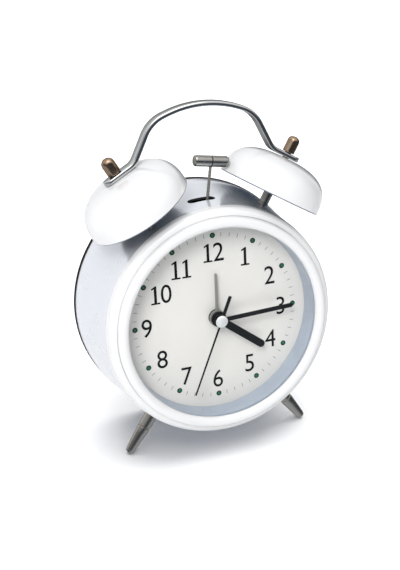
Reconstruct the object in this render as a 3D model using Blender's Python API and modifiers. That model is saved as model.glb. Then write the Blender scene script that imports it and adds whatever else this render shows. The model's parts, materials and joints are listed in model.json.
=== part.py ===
"""Twin-bell quartz alarm clock, in metres, +Z up, front towards -Y.

The clock leans back on two turned feet and the rear edge of its drum.  Every piece is laid out
in the clock's own axes, on the empty "clock_axes": X to 3 o'clock, Y to 12 o'clock, Z out of the
dial towards the reader, with the origin in the middle of the window's front edge.  Lengths in
this file are millimetres, and MM turns them into metres where geometry is made.
"""
import math

import bmesh
import bpy
from mathutils import Matrix, Vector

MM = 0.001
GAP = 0.3                      # clearance between pieces that touch

# Stance
LEAN = math.radians(9.5)       # the drum's axis tips back by this much

# Drum, window and dial
WINDOW_R = 46.5
BEZEL_R = 51.4
SHOULDER_R = 55.6
REAR_R = 59.6
DRUM_BACK = -49.7
BACK = -51.6                   # outer face of the rear cover
WALL = 1.0
DIAL_Z = -12.77                # printed face of the dial

# Time shown at rest, as clock angles from 12
SECOND_ANGLE = math.radians(202.4)
MINUTE_ANGLE = math.radians(87.4)
HOUR_ANGLE = math.radians(127.3)
ALARM_ANGLE = 0.0

# Bells, posts, nuts and handle, measured out along the bell's own axis from the drum's axis
BELL_TILT = math.radians(30.2)
BELL_Z = -20.0
BELL_R = 25.2
BELL_RIM = 63.5
BELL_HEIGHT = 18.0
BELL_WALL = 0.9
STUD_R = 1.5
POST_R = 2.3
STUD_HOLE_R = 1.9
STRIP = 2.3                    # handle strip's thickness
STRIP_WIDTH = 6.2
STRIP_END = 6.5                # how far the strip's foot passes the bell's axis
NUT_HEIGHT = 8.0

# Hammer
HAMMER_Z = -19.0
HAMMER_PIVOT_Y = 51.5
HAMMER_REACH = 22.1
HAMMER_TILT = math.radians(-8.1)
HEAD_R = 2.6
HEAD_LENGTH = 16.9
SLOT_CENTRE = (-2.7, -18.2)    # X and Z of the slot in the drum's top
SLOT_SIZE = (13.4, 5.0)

# Feet
FOOT_TILT = math.radians(35.66)
FOOT_Z = -17.7
FOOT_R = 3.1
FOOT_TIP_R = 1.9

# Movement: wheels stand in for toothed ones at their pitch radius, on three arbors
WORKS_Y = -10.0                # motion-work wheel's arbor, below the centre
KNOB_X = 14.0
KNOB_Y = 10.0
KNOB_WHEEL_R = math.hypot(KNOB_X, KNOB_Y) / 2
CAM_Y = 40.0
CAM_R = 4.5

# Battery (AA) and its door
BATTERY_Y = -31.0
BATTERY_Z = -41.5
BATTERY_R = 7.1
BATTERY_LENGTH = 49.2
DOOR_SIZE = (56.0, 18.0)
DOOR_THICKNESS = 1.6

# Facets
ROUND_LARGE = 48
ROUND_MEDIUM = 32
ROUND_SMALL = 16


def clear_scene():
    for obj in list(bpy.data.objects):
        bpy.data.objects.remove(obj, do_unlink=True)


def new_collection(name):
    collection = bpy.data.collections.new(name)
    bpy.context.scene.collection.children.link(collection)
    return collection


def new_material(name, color, roughness, metallic=0.0, alpha=1.0):
    material = bpy.data.materials.new(name)
    material.use_nodes = True
    shader = material.node_tree.nodes["Principled BSDF"]
    shader.inputs["Base Color"].default_value = (*color, 1.0)
    shader.inputs["Roughness"].default_value = roughness
    shader.inputs["Metallic"].default_value = metallic
    shader.inputs["Alpha"].default_value = alpha
    return material


clear_scene()
PARTS = new_collection("twin_bell_alarm_clock")
CUTTERS = new_collection("cutters")

WHITE = new_material("white_paint", (0.86, 0.87, 0.88), 0.18)
GLASS = new_material("clear_lens", (0.95, 0.97, 0.97), 0.03, alpha=0.25)
GREY = new_material("grey_surround", (0.55, 0.60, 0.68), 0.4)
PAPER = new_material("dial_paper", (0.84, 0.83, 0.79), 0.6)
BLACK = new_material("black_plastic", (0.02, 0.02, 0.022), 0.45)
HAND_BLACK = new_material("black_hand", (0.012, 0.014, 0.014), 0.35)
HAND_GREY = new_material("grey_hand", (0.35, 0.36, 0.35), 0.35, 0.8)
STEEL = new_material("polished_steel", (0.62, 0.62, 0.60), 0.2, 1.0)
DARK_STEEL = new_material("dark_steel", (0.30, 0.29, 0.27), 0.28, 1.0)
BRONZE = new_material("bronze_nut", (0.33, 0.24, 0.18), 0.3, 1.0)
NICKEL = new_material("nickel", (0.50, 0.46, 0.42), 0.28, 1.0)
SILVER = new_material("silver_cap", (0.75, 0.75, 0.74), 0.15, 1.0)
BRASS = new_material("brass", (0.70, 0.52, 0.25), 0.3, 1.0)
MOVEMENT = new_material("movement_plastic", (0.80, 0.80, 0.76), 0.5)
BOARD = new_material("circuit_board", (0.05, 0.22, 0.10), 0.5)
COPPER = new_material("copper_wire", (0.62, 0.30, 0.16), 0.35, 1.0)
BATTERY_WRAP = new_material("battery_wrap", (0.10, 0.12, 0.16), 0.4)


def new_empty(name, location=(0, 0, 0), rotation=(0, 0, 0), parent=None):
    empty = bpy.data.objects.new(name, None)
    PARTS.objects.link(empty)
    empty.parent = parent
    empty.location = Vector(location) * MM
    empty.rotation_euler = rotation
    return empty


def place(obj, parent, material, location, rotation):
    """Link a new object as a part, or as a cutter where it has no material."""
    is_cutter = material is None
    (CUTTERS if is_cutter else PARTS).objects.link(obj)
    obj.parent = parent
    obj.location = Vector(location) * MM
    obj.rotation_euler = rotation
    if is_cutter:
        obj.hide_render = True
        obj.display_type = "WIRE"
    else:
        obj.data.materials.append(material)
    return obj


def turned(name, profile, facets, parent, material, location=(0, 0, 0), rotation=(0, 0, 0), ring=False):
    """A lathe shape about local Z from (radius, height) points running down the outer side."""
    mesh = bpy.data.meshes.new(name)
    edges = [(i, i + 1) for i in range(len(profile) - 1)]
    if ring:
        edges.append((len(profile) - 1, 0))
    mesh.from_pydata([(r * MM, 0, h * MM) for r, h in profile], edges, [])
    obj = place(bpy.data.objects.new(name, mesh), parent, material, location, rotation)
    screw = obj.modifiers.new("Turned", "SCREW")
    screw.axis = "Z"
    screw.steps = facets
    screw.render_steps = facets
    screw.use_merge_vertices = True
    screw.merge_threshold = 0.00001
    screw.use_smooth_shade = True
    return obj


def tube_profile(outer, inner, top, bottom):
    return [(inner, top), (outer, top), (outer, bottom), (inner, bottom)]


def rod_profile(radius, top, bottom, chamfer=0.0):
    if chamfer == 0.0:
        return [(0, top), (radius, top), (radius, bottom), (0, bottom)]
    return [
        (0, top), (radius - chamfer, top), (radius, top - chamfer),
        (radius, bottom + chamfer), (radius - chamfer, bottom), (0, bottom),
    ]


def block(name, size, parent, material, location=(0, 0, 0), rotation=(0, 0, 0), edge=0.0):
    """A box centred on its location, with its edges rounded by `edge`."""
    mesh = bpy.data.meshes.new(name)
    bm = bmesh.new()
    bmesh.ops.create_cube(bm, size=1.0)
    bmesh.ops.scale(bm, vec=Vector(size) * MM, verts=bm.verts)
    bm.to_mesh(mesh)
    bm.free()
    obj = place(bpy.data.objects.new(name, mesh), parent, material, location, rotation)
    if edge > 0.0:
        bevel = obj.modifiers.new("Rounded edges", "BEVEL")
        bevel.width = edge * MM
        bevel.segments = 2
    return obj


def plate(name, outlines, bottom, top, parent, material, location=(0, 0, 0), rotation=(0, 0, 0)):
    """A flat plate between two heights; later outlines inside the first are holes."""
    curve = bpy.data.curves.new(name, "CURVE")
    curve.dimensions = "2D"
    curve.fill_mode = "BOTH"
    curve.extrude = (top - bottom) / 2 * MM
    for points in outlines:
        spline = curve.splines.new("POLY")
        spline.points.add(len(points) - 1)
        for point, (x, y) in zip(spline.points, points):
            point.co = (x * MM, y * MM, 0, 1)
        spline.use_cyclic_u = True
    obj = bpy.data.objects.new(name, curve)
    bpy.context.scene.collection.objects.link(obj)
    mesh = mesh_from(obj)
    mesh.transform(Matrix.Translation((0, 0, (top + bottom) / 2 * MM)))
    bpy.data.objects.remove(obj)
    return place(bpy.data.objects.new(name, mesh), parent, material, location, rotation)


def mesh_from(obj):
    """The evaluated mesh of a curve object, with its caps welded."""
    bpy.context.view_layer.update()
    graph = bpy.context.evaluated_depsgraph_get()
    mesh = bpy.data.meshes.new_from_object(obj.evaluated_get(graph))
    bm = bmesh.new()
    bm.from_mesh(mesh)
    bmesh.ops.remove_doubles(bm, verts=bm.verts, dist=0.00001)
    bmesh.ops.recalc_face_normals(bm, faces=bm.faces)
    bm.to_mesh(mesh)
    bm.free()
    return mesh


def rod(name, points, radius, parent, material, resolution=2, location=(0, 0, 0), rotation=(0, 0, 0)):
    """A round wire along points."""
    curve = bpy.data.curves.new(name, "CURVE")
    curve.dimensions = "3D"
    curve.bevel_depth = radius * MM
    curve.bevel_resolution = resolution
    curve.use_fill_caps = True
    spline = curve.splines.new("POLY")
    spline.points.add(len(points) - 1)
    for point, co in zip(spline.points, points):
        point.co = (*(Vector(co) * MM), 1)
    return place(bpy.data.objects.new(name, curve), parent, material, location, rotation)


def circle(radius, count, centre=(0, 0)):
    steps = [2 * math.pi * i / count for i in range(count)]
    return [(centre[0] + radius * math.cos(a), centre[1] + radius * math.sin(a)) for a in steps]


def rounded_rectangle(width, height, radius, steps=4):
    corners = [(1, 1, 0), (-1, 1, 90), (-1, -1, 180), (1, -1, 270)]
    points = []
    for sx, sy, start in corners:
        cx = sx * (width / 2 - radius)
        cy = sy * (height / 2 - radius)
        for i in range(steps + 1):
            a = math.radians(start + 90 * i / steps)
            points.append((cx + radius * math.cos(a), cy + radius * math.sin(a)))
    return points


def cut(obj, cutter):
    boolean = obj.modifiers.new("Cut " + cutter.name, "BOOLEAN")
    boolean.operation = "DIFFERENCE"
    boolean.object = cutter
    return obj


def hole(obj, name, radius, top, bottom, parent, location=(0, 0, 0), rotation=(0, 0, 0),
         facets=ROUND_SMALL):
    """Drill obj along the local Z of parent."""
    cutter = turned(name, rod_profile(radius, top, bottom), facets, parent, None, location, rotation)
    return cut(obj, cutter)


# ---------------------------------------------------------------------------------------------
# Axes that the pieces sit on
# ---------------------------------------------------------------------------------------------

clock_axes = new_empty("clock_axes", rotation=(math.pi / 2 - LEAN, 0, 0))
SIDES = {"left": -1, "right": 1}


def drum_radius(z):
    """Outer radius of the drum's taper at a depth behind the shoulder."""
    share = (-z - 7.0) / (43.0 - 7.0)
    return SHOULDER_R + (59.2 - SHOULDER_R) * min(max(share, 0.0), 1.0) ** 1.15


def bell_axes(side):
    """Local Z runs out along the bell's axis, X along the rim away from 12, Y to the rear."""
    turn = -SIDES[side] * BELL_TILT
    return new_empty(side + "_bell_axes", (0, 0, BELL_Z), (-math.pi / 2, 0, turn), clock_axes)


def foot_axes(side):
    """Local Z runs down along the foot."""
    turn = SIDES[side] * FOOT_TILT
    return new_empty(side + "_foot_axes", (0, 0, FOOT_Z), (math.pi / 2, 0, turn), clock_axes)


BELL_AXES = {side: bell_axes(side) for side in SIDES}
FOOT_AXES = {side: foot_axes(side) for side in SIDES}


def foot_reach():
    """Distance from the drum's axis to the foot's end that puts both on one standing plane."""
    rear_drop = 59.5 * math.cos(LEAN) - BACK * math.sin(LEAN)
    edge_drop = FOOT_TIP_R * math.hypot(math.sin(FOOT_TILT) * math.cos(LEAN), math.sin(LEAN))
    foot_drop = -FOOT_Z * math.sin(LEAN) + edge_drop
    return (rear_drop - foot_drop) / (math.cos(LEAN) * math.cos(FOOT_TILT))


FOOT_REACH = foot_reach()


# ---------------------------------------------------------------------------------------------
# Drum, window and dial
# ---------------------------------------------------------------------------------------------

def make_drum():
    outer = [(52.0, -1.5), (53.7, -2.2), (54.9, -3.8), (55.5, -6.0)]
    outer += [(drum_radius(z), z) for z in (-9.0, -20.0, -31.0, -42.0)]
    outer += [(REAR_R, -43.2), (REAR_R, DRUM_BACK)]
    inner = [(REAR_R - WALL, DRUM_BACK), (REAR_R - WALL, -42.6)]
    inner += [(drum_radius(z) - WALL, z) for z in (-31.0, -20.0, -9.0)]
    inner += [(54.4, -5.6), (53.2, -4.7), (48.6, -4.7), (48.6, -3.7), (51.7, -3.7), (51.7, -1.5)]
    drum = turned("case_drum", outer + inner, ROUND_LARGE, clock_axes, WHITE, ring=True)
    slot_x, slot_z = SLOT_CENTRE
    cutter = plate(
        "hammer_slot_cutter", [rounded_rectangle(*SLOT_SIZE, SLOT_SIZE[1] / 2 - 0.1)], 50, 62,
        clock_axes, None, (slot_x, 0, slot_z), (-math.pi / 2, 0, 0))
    cut(drum, cutter)
    for side in SIDES:
        hole(drum, side + "_post_hole", 1.9, 62, 50, BELL_AXES[side])
        hole(drum, side + "_foot_hole", 1.9, 62, 50, FOOT_AXES[side])
    return drum


def make_bezel():
    profile = [
        (49.2, 1.4), (50.4, 1.15), (51.15, 0.4), (BEZEL_R, -0.7), (BEZEL_R, -3.4), (48.4, -3.4),
        (48.4, -1.1), (WINDOW_R, -1.1), (WINDOW_R, -0.1), (46.9, 0.45), (47.9, 1.15),
    ]
    turned("front_bezel", profile, ROUND_LARGE, clock_axes, WHITE, ring=True)


def make_window():
    turned("window_lens", rod_profile(48.1, -1.4, -3.0), ROUND_LARGE, clock_axes, GLASS)
    surround = [
        (46.7, -3.3), (48.3, -3.3), (48.3, -11.0), (53.8, -11.0), (53.8, -12.45), (46.1, -12.45),
    ]
    turned("dial_surround", surround, ROUND_LARGE, clock_axes, GREY, ring=True)


def make_dial():
    turned("dial_face", tube_profile(47.6, 3.4, DIAL_Z, DIAL_Z - 0.3), ROUND_LARGE, clock_axes, PAPER,
           ring=True)
    turned("dial_plate", tube_profile(53.8, 3.4, DIAL_Z - 0.6, DIAL_Z - 1.8), ROUND_LARGE, clock_axes,
           MOVEMENT, ring=True)


# ---------------------------------------------------------------------------------------------
# Hands, each with its collet and its wheel
# ---------------------------------------------------------------------------------------------

def bar_hand(hub_r, tip, half, tail=0.0, tail_half=0.0, tip_half=None):
    """Outline of a hand that points to +Y: hub disc, bar with a round tip, and an optional tail."""
    end_half = half if tip_half is None else tip_half
    points = []
    for i in range(7):
        a = math.pi * i / 6
        points.append((end_half * math.cos(a), tip - end_half + end_half * math.sin(a)))
    start = math.pi / 2 + math.asin(half / hub_r)
    stop = math.pi / 2 - math.asin(half / hub_r) + 2 * math.pi
    if tail == 0.0:
        angles = [start + (stop - start) * i / 18 for i in range(19)]
        points += [(hub_r * math.cos(a), hub_r * math.sin(a)) for a in angles]
        return points
    low = 1.5 * math.pi - math.asin(tail_half / hub_r)
    high = 1.5 * math.pi + math.asin(tail_half / hub_r)
    for first, last in ((start, low), (high, stop)):
        angles = [first + (last - first) * i / 8 for i in range(9)]
        arc = [(hub_r * math.cos(a), hub_r * math.sin(a)) for a in angles]
        if first == high:
            points += [(-tail_half, -tail), (tail_half, -tail)]
        points += arc
    return points


def hand_axes(name, angle):
    return new_empty(name + "_axes", rotation=(0, 0, -angle), parent=clock_axes)


def make_hour_hand():
    axes = hand_axes("hour_hand", HOUR_ANGLE)
    plate("hour_hand", [bar_hand(3.7, 28.4, 1.85), circle(2.3, 20)], -8.6, -8.1, axes, HAND_BLACK)
    turned("hour_collet", tube_profile(3.6, 2.3, -8.9, -9.6), ROUND_SMALL, axes, HAND_BLACK, ring=True)
    wheel_r = 8.0 - GAP / 2
    profile = [(1.6, -7.9), (2.0, -7.9), (2.0, -19.5), (wheel_r, -19.5), (wheel_r, -20.5), (1.6, -20.5)]
    turned("hour_wheel", profile, ROUND_SMALL, axes, MOVEMENT, ring=True)


def make_minute_hand():
    axes = hand_axes("minute_hand", MINUTE_ANGLE)
    plate("minute_hand", [bar_hand(3.1, 37.5, 1.1), circle(1.6, 20)], -6.8, -6.4, axes, HAND_BLACK)
    turned("minute_collet", tube_profile(3.0, 1.6, -7.1, -7.6), ROUND_SMALL, axes, HAND_BLACK, ring=True)
    wheel_r = KNOB_WHEEL_R - GAP / 2
    profile = [
        (0.9, -5.9), (1.3, -5.9), (1.3, -21.5), (2.5 - GAP / 2, -21.5), (2.5 - GAP / 2, -22.5),
        (1.3, -22.5), (1.3, -24.0), (wheel_r, -24.0), (wheel_r, -25.0), (0.9, -25.0),
    ]
    turned("minute_wheel", profile, ROUND_SMALL, axes, MOVEMENT, ring=True)


def make_second_hand():
    axes = hand_axes("second_hand", SECOND_ANGLE)
    outline = bar_hand(2.0, 38.2, 0.5, tail=12.8, tail_half=0.85, tip_half=0.4)
    plate("second_hand", [outline, circle(0.9, 16)], -5.3, -5.0, axes, HAND_BLACK)
    cap = [(0, -3.6), (1.2, -3.68), (2.2, -3.95), (2.8, -4.35), (3.0, -4.7), (0, -4.7)]
    turned("hand_cap", cap, ROUND_SMALL, axes, SILVER)
    profile = [
        (0, -5.0), (0.6, -5.0), (0.6, -27.0), (7.0, -27.0), (7.0, -28.0), (0.6, -28.0), (0.6, -29.0),
        (0, -29.0),
    ]
    turned("second_wheel", profile, ROUND_SMALL, axes, BRASS)


def make_alarm_hand():
    axes = hand_axes("alarm_hand", ALARM_ANGLE)
    outline = bar_hand(4.0, 22.2, 0.6, tip_half=0.45)
    plate("alarm_hand", [outline, circle(3.0, 20)], -10.8, -10.4, axes, HAND_GREY)
    turned("alarm_collet", tube_profile(3.9, 3.0, -11.1, -12.3), ROUND_SMALL, axes, HAND_BLACK, ring=True)
    wheel_r = KNOB_WHEEL_R - GAP / 2
    profile = [(2.3, -9.9), (2.7, -9.9), (2.7, -17.5), (wheel_r, -17.5), (wheel_r, -18.5), (2.3, -18.5)]
    turned("alarm_wheel", profile, ROUND_SMALL, axes, MOVEMENT, ring=True)


def make_motion_work():
    """The wheel and pinion that step the minute pinion down to the hour wheel."""
    pinion_r = 2.0 - GAP / 2
    wheel_r = 7.5 - GAP / 2
    profile = [
        (0, -18.9), (pinion_r, -18.9), (pinion_r, -21.5), (wheel_r, -21.5), (wheel_r, -22.5),
        (0.5, -22.5), (0.5, -23.6), (0, -23.6),
    ]
    turned("motion_wheel", profile, ROUND_SMALL, clock_axes, MOVEMENT, (0, WORKS_Y, 0))


# ---------------------------------------------------------------------------------------------
# Movement, board, battery and its contacts
# ---------------------------------------------------------------------------------------------

def make_movement():
    front = block("movement_front", (56, 56, 1.6), clock_axes, MOVEMENT, (0, 0, -15.8), edge=0.4)
    hole(front, "front_centre_hole", 3.1, 2, -2, clock_axes, (0, 0, -15.8))
    back = block("movement_case", (56, 56, 14.4), clock_axes, MOVEMENT, (0, 0, -24.1), edge=0.6)
    pocket = block("movement_pocket", (53, 53, 13.3), clock_axes, None, (0, 0, -23.0))
    cut(back, pocket)
    for side, x in (("time", KNOB_X), ("alarm", -KNOB_X)):
        hole(back, side + "_shaft_hole", 1.8, 2, -2, clock_axes, (x, KNOB_Y, -30.5))
    block("circuit_board", (30, 12, 1.0), clock_axes, BOARD, (-8, -19.0, -18.4))
    core = [
        (0, 8.0), (3.2, 8.0), (3.2, 7.2), (2.6, 7.2), (2.6, -7.2), (3.2, -7.2), (3.2, -8.0), (0, -8.0),
    ]
    turned("stepper_coil", core, 16, clock_axes, COPPER, (-8, -21.5, -24.5), (0, math.pi / 2, 0))
    arms = rounded_rectangle(24, 14, 2, 2)
    opening = [(x, y - 1.5) for x, y in rounded_rectangle(17.4, 8.6, 1, 2)]
    plate("stepper_stator", [arms, opening], -29.3, -28.5, clock_axes, DARK_STEEL, (-8, -18.5, 0))
    turned("stepper_rotor", rod_profile(2.2, -19.6, -28.2, 0.4), 16, clock_axes, DARK_STEEL, (12, -16, 0))


def make_battery():
    tray = block("battery_box", (58.0, 17.6, 16.2), clock_axes, BLACK, (0, BATTERY_Y, -41.6), edge=0.5)
    pocket = block("battery_pocket", (55.6, 15.2, 18.0), clock_axes, None, (0, BATTERY_Y, -43.1))
    cut(tray, pocket)
    top = BATTERY_LENGTH / 2
    profile = [
        (0, top), (2.7, top), (2.7, top - 1.4), (BATTERY_R - 0.5, top - 1.4), (BATTERY_R, top - 1.9),
        (BATTERY_R, -top + 0.4), (BATTERY_R - 0.4, -top), (0, -top),
    ]
    turned("battery", profile, ROUND_SMALL, clock_axes, BATTERY_WRAP, (0.6, BATTERY_Y, BATTERY_Z),
           (0, math.pi / 2, 0))
    block("positive_contact", (0.5, 9.0, 9.0), clock_axes, STEEL, (25.9, BATTERY_Y, BATTERY_Z))
    turns = 3
    steps = 8
    coil = []
    for i in range(turns * steps + 1):
        a = 2 * math.pi * i / steps
        r = 3.2 - 1.2 * i / (turns * steps)
        coil.append((-27.0 + 2.3 * i / (turns * steps), r * math.cos(a), r * math.sin(a)))
    rod("negative_spring", coil, 0.28, clock_axes, STEEL, 1, (0, BATTERY_Y, BATTERY_Z))


# ---------------------------------------------------------------------------------------------
# Rear cover, knobs, switch and door
# ---------------------------------------------------------------------------------------------

def make_rear_cover():
    profile = [
        (0, -49.8), (56.8, -49.8), (56.8, -46.5), (58.3, -46.5), (58.3, DRUM_BACK - GAP),
        (59.5, DRUM_BACK - GAP), (59.5, -51.3), (59.2, BACK), (0, BACK),
    ]
    cover = turned("rear_cover", profile, ROUND_LARGE, clock_axes, BLACK)
    for side, x in (("time", KNOB_X), ("alarm", -KNOB_X)):
        hole(cover, side + "_cover_hole", 2.0, 2, -2, clock_axes, (x, KNOB_Y, -50.7))
    opening = (DOOR_SIZE[0] + 2 * GAP, DOOR_SIZE[1] + 2 * GAP, 8)
    cut(cover, block("door_opening", opening, clock_axes, None, (0, BATTERY_Y, -51.0)))
    cut(cover, block("switch_opening", (11.0, 4.0, 8), clock_axes, None, (0, 32.0, -51.0)))
    for number, angle in enumerate((90, 210, 330), start=1):
        a = math.radians(angle)
        spot = (51.0 * math.cos(a), 51.0 * math.sin(a), 0)
        hole(cover, f"cover_screw_hole_{number}", 1.6, -48, -53, clock_axes, spot, facets=16)
        screw = [
            (0, -46.0), (1.2, -46.0), (1.2, BACK - GAP), (2.6, BACK - GAP), (2.4, BACK - 1.3),
            (0, BACK - 1.6),
        ]
        turned(f"cover_screw_{number}", screw, 16, clock_axes, DARK_STEEL, spot)


def fluted(radius, depth, flutes):
    count = flutes * 4
    points = []
    for i in range(count):
        a = 2 * math.pi * i / count
        r = radius - depth * (0.5 - 0.5 * math.cos(flutes * a))
        points.append((r * math.cos(a), r * math.sin(a)))
    return points


def make_knob(name, x, wheel_top):
    """A fluted knob on a shaft that carries its own wheel inside the movement."""
    plate(name + "_knob", [fluted(6.5, 0.5, 16), circle(1.9, 16)], -59.0, -53.0, clock_axes, BLACK,
          (x, KNOB_Y, 0))
    wheel_r = KNOB_WHEEL_R - GAP / 2
    profile = [
        (0, wheel_top), (wheel_r, wheel_top), (wheel_r, wheel_top - 1.0), (1.5, wheel_top - 1.0),
        (1.5, -58.6), (0, -58.6),
    ]
    turned(name + "_shaft", profile, ROUND_SMALL, clock_axes, MOVEMENT, (x, KNOB_Y, 0))


def make_switch():
    plate("alarm_switch", [rounded_rectangle(4.6, 3.3, 0.6, 2)], -54.0, -48.6, clock_axes, BLACK,
          (-2.5, 32.0, 0))


def make_battery_door():
    """Hooked along its lower rear edge; the axes empty lies on that edge."""
    low = BATTERY_Y - DOOR_SIZE[1] / 2
    axes = new_empty("battery_door_axes", (0, low, BACK), parent=clock_axes)
    door = block("battery_door", (DOOR_SIZE[0], DOOR_SIZE[1], DOOR_THICKNESS), axes, BLACK,
                 (0, DOOR_SIZE[1] / 2, DOOR_THICKNESS / 2))
    grip = block("door_grip", (12, 2.4, 1.2), axes, None, (0, DOOR_SIZE[1] - 2.6, 0))
    cut(door, grip)


# ---------------------------------------------------------------------------------------------
# Bells, posts, nuts and handle
# ---------------------------------------------------------------------------------------------

def bell_curve(radius, height, count):
    """Radius and height from the crown to the rim: a domed shell with a full shoulder."""
    points = []
    for i in range(count + 1):
        a = math.pi / 2 * (1 - i / count)
        points.append((radius * math.cos(a) ** (1 / 1.4), height * math.sin(a) ** (1 / 1.4)))
    return points


def make_bell(side):
    outer = [(r, h) for r, h in bell_curve(BELL_R, BELL_HEIGHT, 10) if r > STUD_HOLE_R]
    inner_r = BELL_R - BELL_WALL
    inner = [(r, h) for r, h in bell_curve(inner_r, BELL_HEIGHT - BELL_WALL, 7) if r > STUD_HOLE_R]
    crown = [(STUD_HOLE_R, BELL_HEIGHT - BELL_WALL - 0.02), (STUD_HOLE_R, BELL_HEIGHT - 0.02)]
    profile = [(r, BELL_RIM + h) for r, h in outer + inner[::-1] + crown]
    turned(side + "_bell", profile, ROUND_MEDIUM, BELL_AXES[side], WHITE, ring=True)


def make_post(side):
    """Shouldered post: stud through the drum, collar on the drum, stud up through bell and handle."""
    under_bell = BELL_RIM + BELL_HEIGHT - BELL_WALL - GAP - 0.1
    top = BELL_RIM + BELL_HEIGHT + STRIP + 5.0
    seat = drum_radius(BELL_Z) + 0.5
    profile = [
        (0, top), (STUD_R, top), (STUD_R, under_bell), (POST_R, under_bell), (POST_R, seat + 1.4),
        (2.5, seat + 1.4), (2.5, seat), (STUD_R, seat), (STUD_R, 51.0), (0, 51.0),
    ]
    turned(side + "_bell_post", profile, ROUND_SMALL, BELL_AXES[side], DARK_STEEL)
    nut_top = drum_radius(BELL_Z) - WALL - 0.5
    hexagon(side + "_post_nut", 2.9, nut_top - 2.2, nut_top, BELL_AXES[side], NICKEL)


def hexagon(name, half_flats, bottom, top, parent, material):
    corner = half_flats / math.cos(math.pi / 6)
    return plate(name, [circle(corner, 6), circle(STUD_HOLE_R, 16)], bottom, top, parent, material)


def make_cap_nut(side):
    """Domed nut: a blind-bored body whose stud hole ends below the dome."""
    base = BELL_RIM + BELL_HEIGHT + STRIP + 2 * GAP
    corner = 3.1
    profile = [
        (0, NUT_HEIGHT), (1.4, NUT_HEIGHT - 0.25), (2.5, NUT_HEIGHT - 1.2), (corner, NUT_HEIGHT - 2.8),
        (corner, 0.0), (STUD_HOLE_R, 0.0), (STUD_HOLE_R, 5.6), (0, 5.6),
    ]
    points = [(r, base + h) for r, h in profile]
    turned(side + "_cap_nut", points, 12, BELL_AXES[side], BRONZE)


def rounded_path(corners, radii, step=math.radians(6)):
    """A flat path through corners, each one turned by an arc of its own radius."""
    path = [Vector(corners[0])]
    for i, radius in enumerate(radii, start=1):
        before, corner, after = (Vector(corners[j]) for j in (i - 1, i, i + 1))
        into = (corner - before).normalized()
        away = (after - corner).normalized()
        turn = into.angle_signed(away)
        reach = radius * math.tan(abs(turn) / 2)
        start = corner - into * reach
        side = 1 if turn < 0 else -1
        centre = start + Vector((-into.y, into.x)) * radius * side
        count = max(2, round(abs(turn) / step))
        for k in range(count + 1):
            spin = Matrix.Rotation(side * abs(turn) * k / count, 2)
            path.append(centre + spin @ (start - centre))
    path.append(Vector(corners[-1]))
    return path


def handle_corners():
    """Corners of the strip's middle line: foot end, two bends and the top of the arch."""
    sin_t = math.sin(BELL_TILT)
    cos_t = math.cos(BELL_TILT)
    mid = BELL_RIM + BELL_HEIGHT + GAP + STRIP / 2

    def on_foot(along):
        return (mid * sin_t + along * cos_t, mid * cos_t - along * sin_t)

    foot_end = on_foot(STRIP_END)
    ankle = on_foot(-9.3)
    shoulder = (25.0, 94.2)
    return [foot_end, ankle, shoulder, (0.0, 103.4)]


def make_handle():
    right = handle_corners()
    left = [(-x, y) for x, y in right[:-1]]
    corners = left + [right[-1]] + right[-2::-1]
    path = rounded_path(corners, (8.0, 16.0, 50.0, 16.0, 8.0))
    section = bpy.data.curves.new("strip_section", "CURVE")
    section.dimensions = "2D"
    spline = section.splines.new("POLY")
    points = []
    for i in range(9):
        a = math.pi * i / 8
        across = math.copysign(math.sqrt(abs(math.cos(a))), math.cos(a))
        points.append((-STRIP / 2 + 0.7 + (STRIP - 0.7) * math.sqrt(math.sin(a)), STRIP_WIDTH / 2 * across))
    points += [(-STRIP / 2, -STRIP_WIDTH / 2 + 0.4), (-STRIP / 2, STRIP_WIDTH / 2 - 0.4)]
    spline.points.add(len(points) - 1)
    for point, (x, y) in zip(spline.points, points):
        point.co = (x * MM, y * MM, 0, 1)
    spline.use_cyclic_u = True
    section_object = place(bpy.data.objects.new("strip_section", section), None, None, (0, 0, 0), (0, 0, 0))
    curve = bpy.data.curves.new("handle", "CURVE")
    curve.dimensions = "2D"
    curve.bevel_mode = "OBJECT"
    curve.bevel_object = section_object
    curve.use_fill_caps = True
    run = curve.splines.new("POLY")
    run.points.add(len(path) - 1)
    for point, co in zip(run.points, path):
        point.co = (co.x * MM, co.y * MM, 0, 1)
    rough = bpy.data.objects.new("handle_run", curve)
    bpy.context.scene.collection.objects.link(rough)
    mesh = mesh_from(rough)
    bpy.data.objects.remove(rough)
    handle = place(bpy.data.objects.new("handle", mesh), clock_axes, STEEL, (0, 0, BELL_Z), (0, 0, 0))
    for side, sign in SIDES.items():
        top = BELL_RIM + BELL_HEIGHT + STRIP
        hole(handle, side + "_strip_hole", STUD_HOLE_R, top + 4, top - 6, BELL_AXES[side])
        rounder_r = STRIP_WIDTH / 2 + 0.3
        centre_x = STRIP_END - rounder_r
        arc = [math.radians(90 - 15 * i) for i in range(13)]
        points = [(centre_x + rounder_r * math.cos(a), rounder_r * math.sin(a)) for a in arc]
        points += [(centre_x, -7), (STRIP_END + 3, -7), (STRIP_END + 3, 7), (centre_x, 7)]
        points = [(sign * x, y) for x, y in points]
        cut(handle, plate(side + "_end_cutter", [points], top - 6, top + 4, BELL_AXES[side], None))


# ---------------------------------------------------------------------------------------------
# Hammer and its drive
# ---------------------------------------------------------------------------------------------

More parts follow.
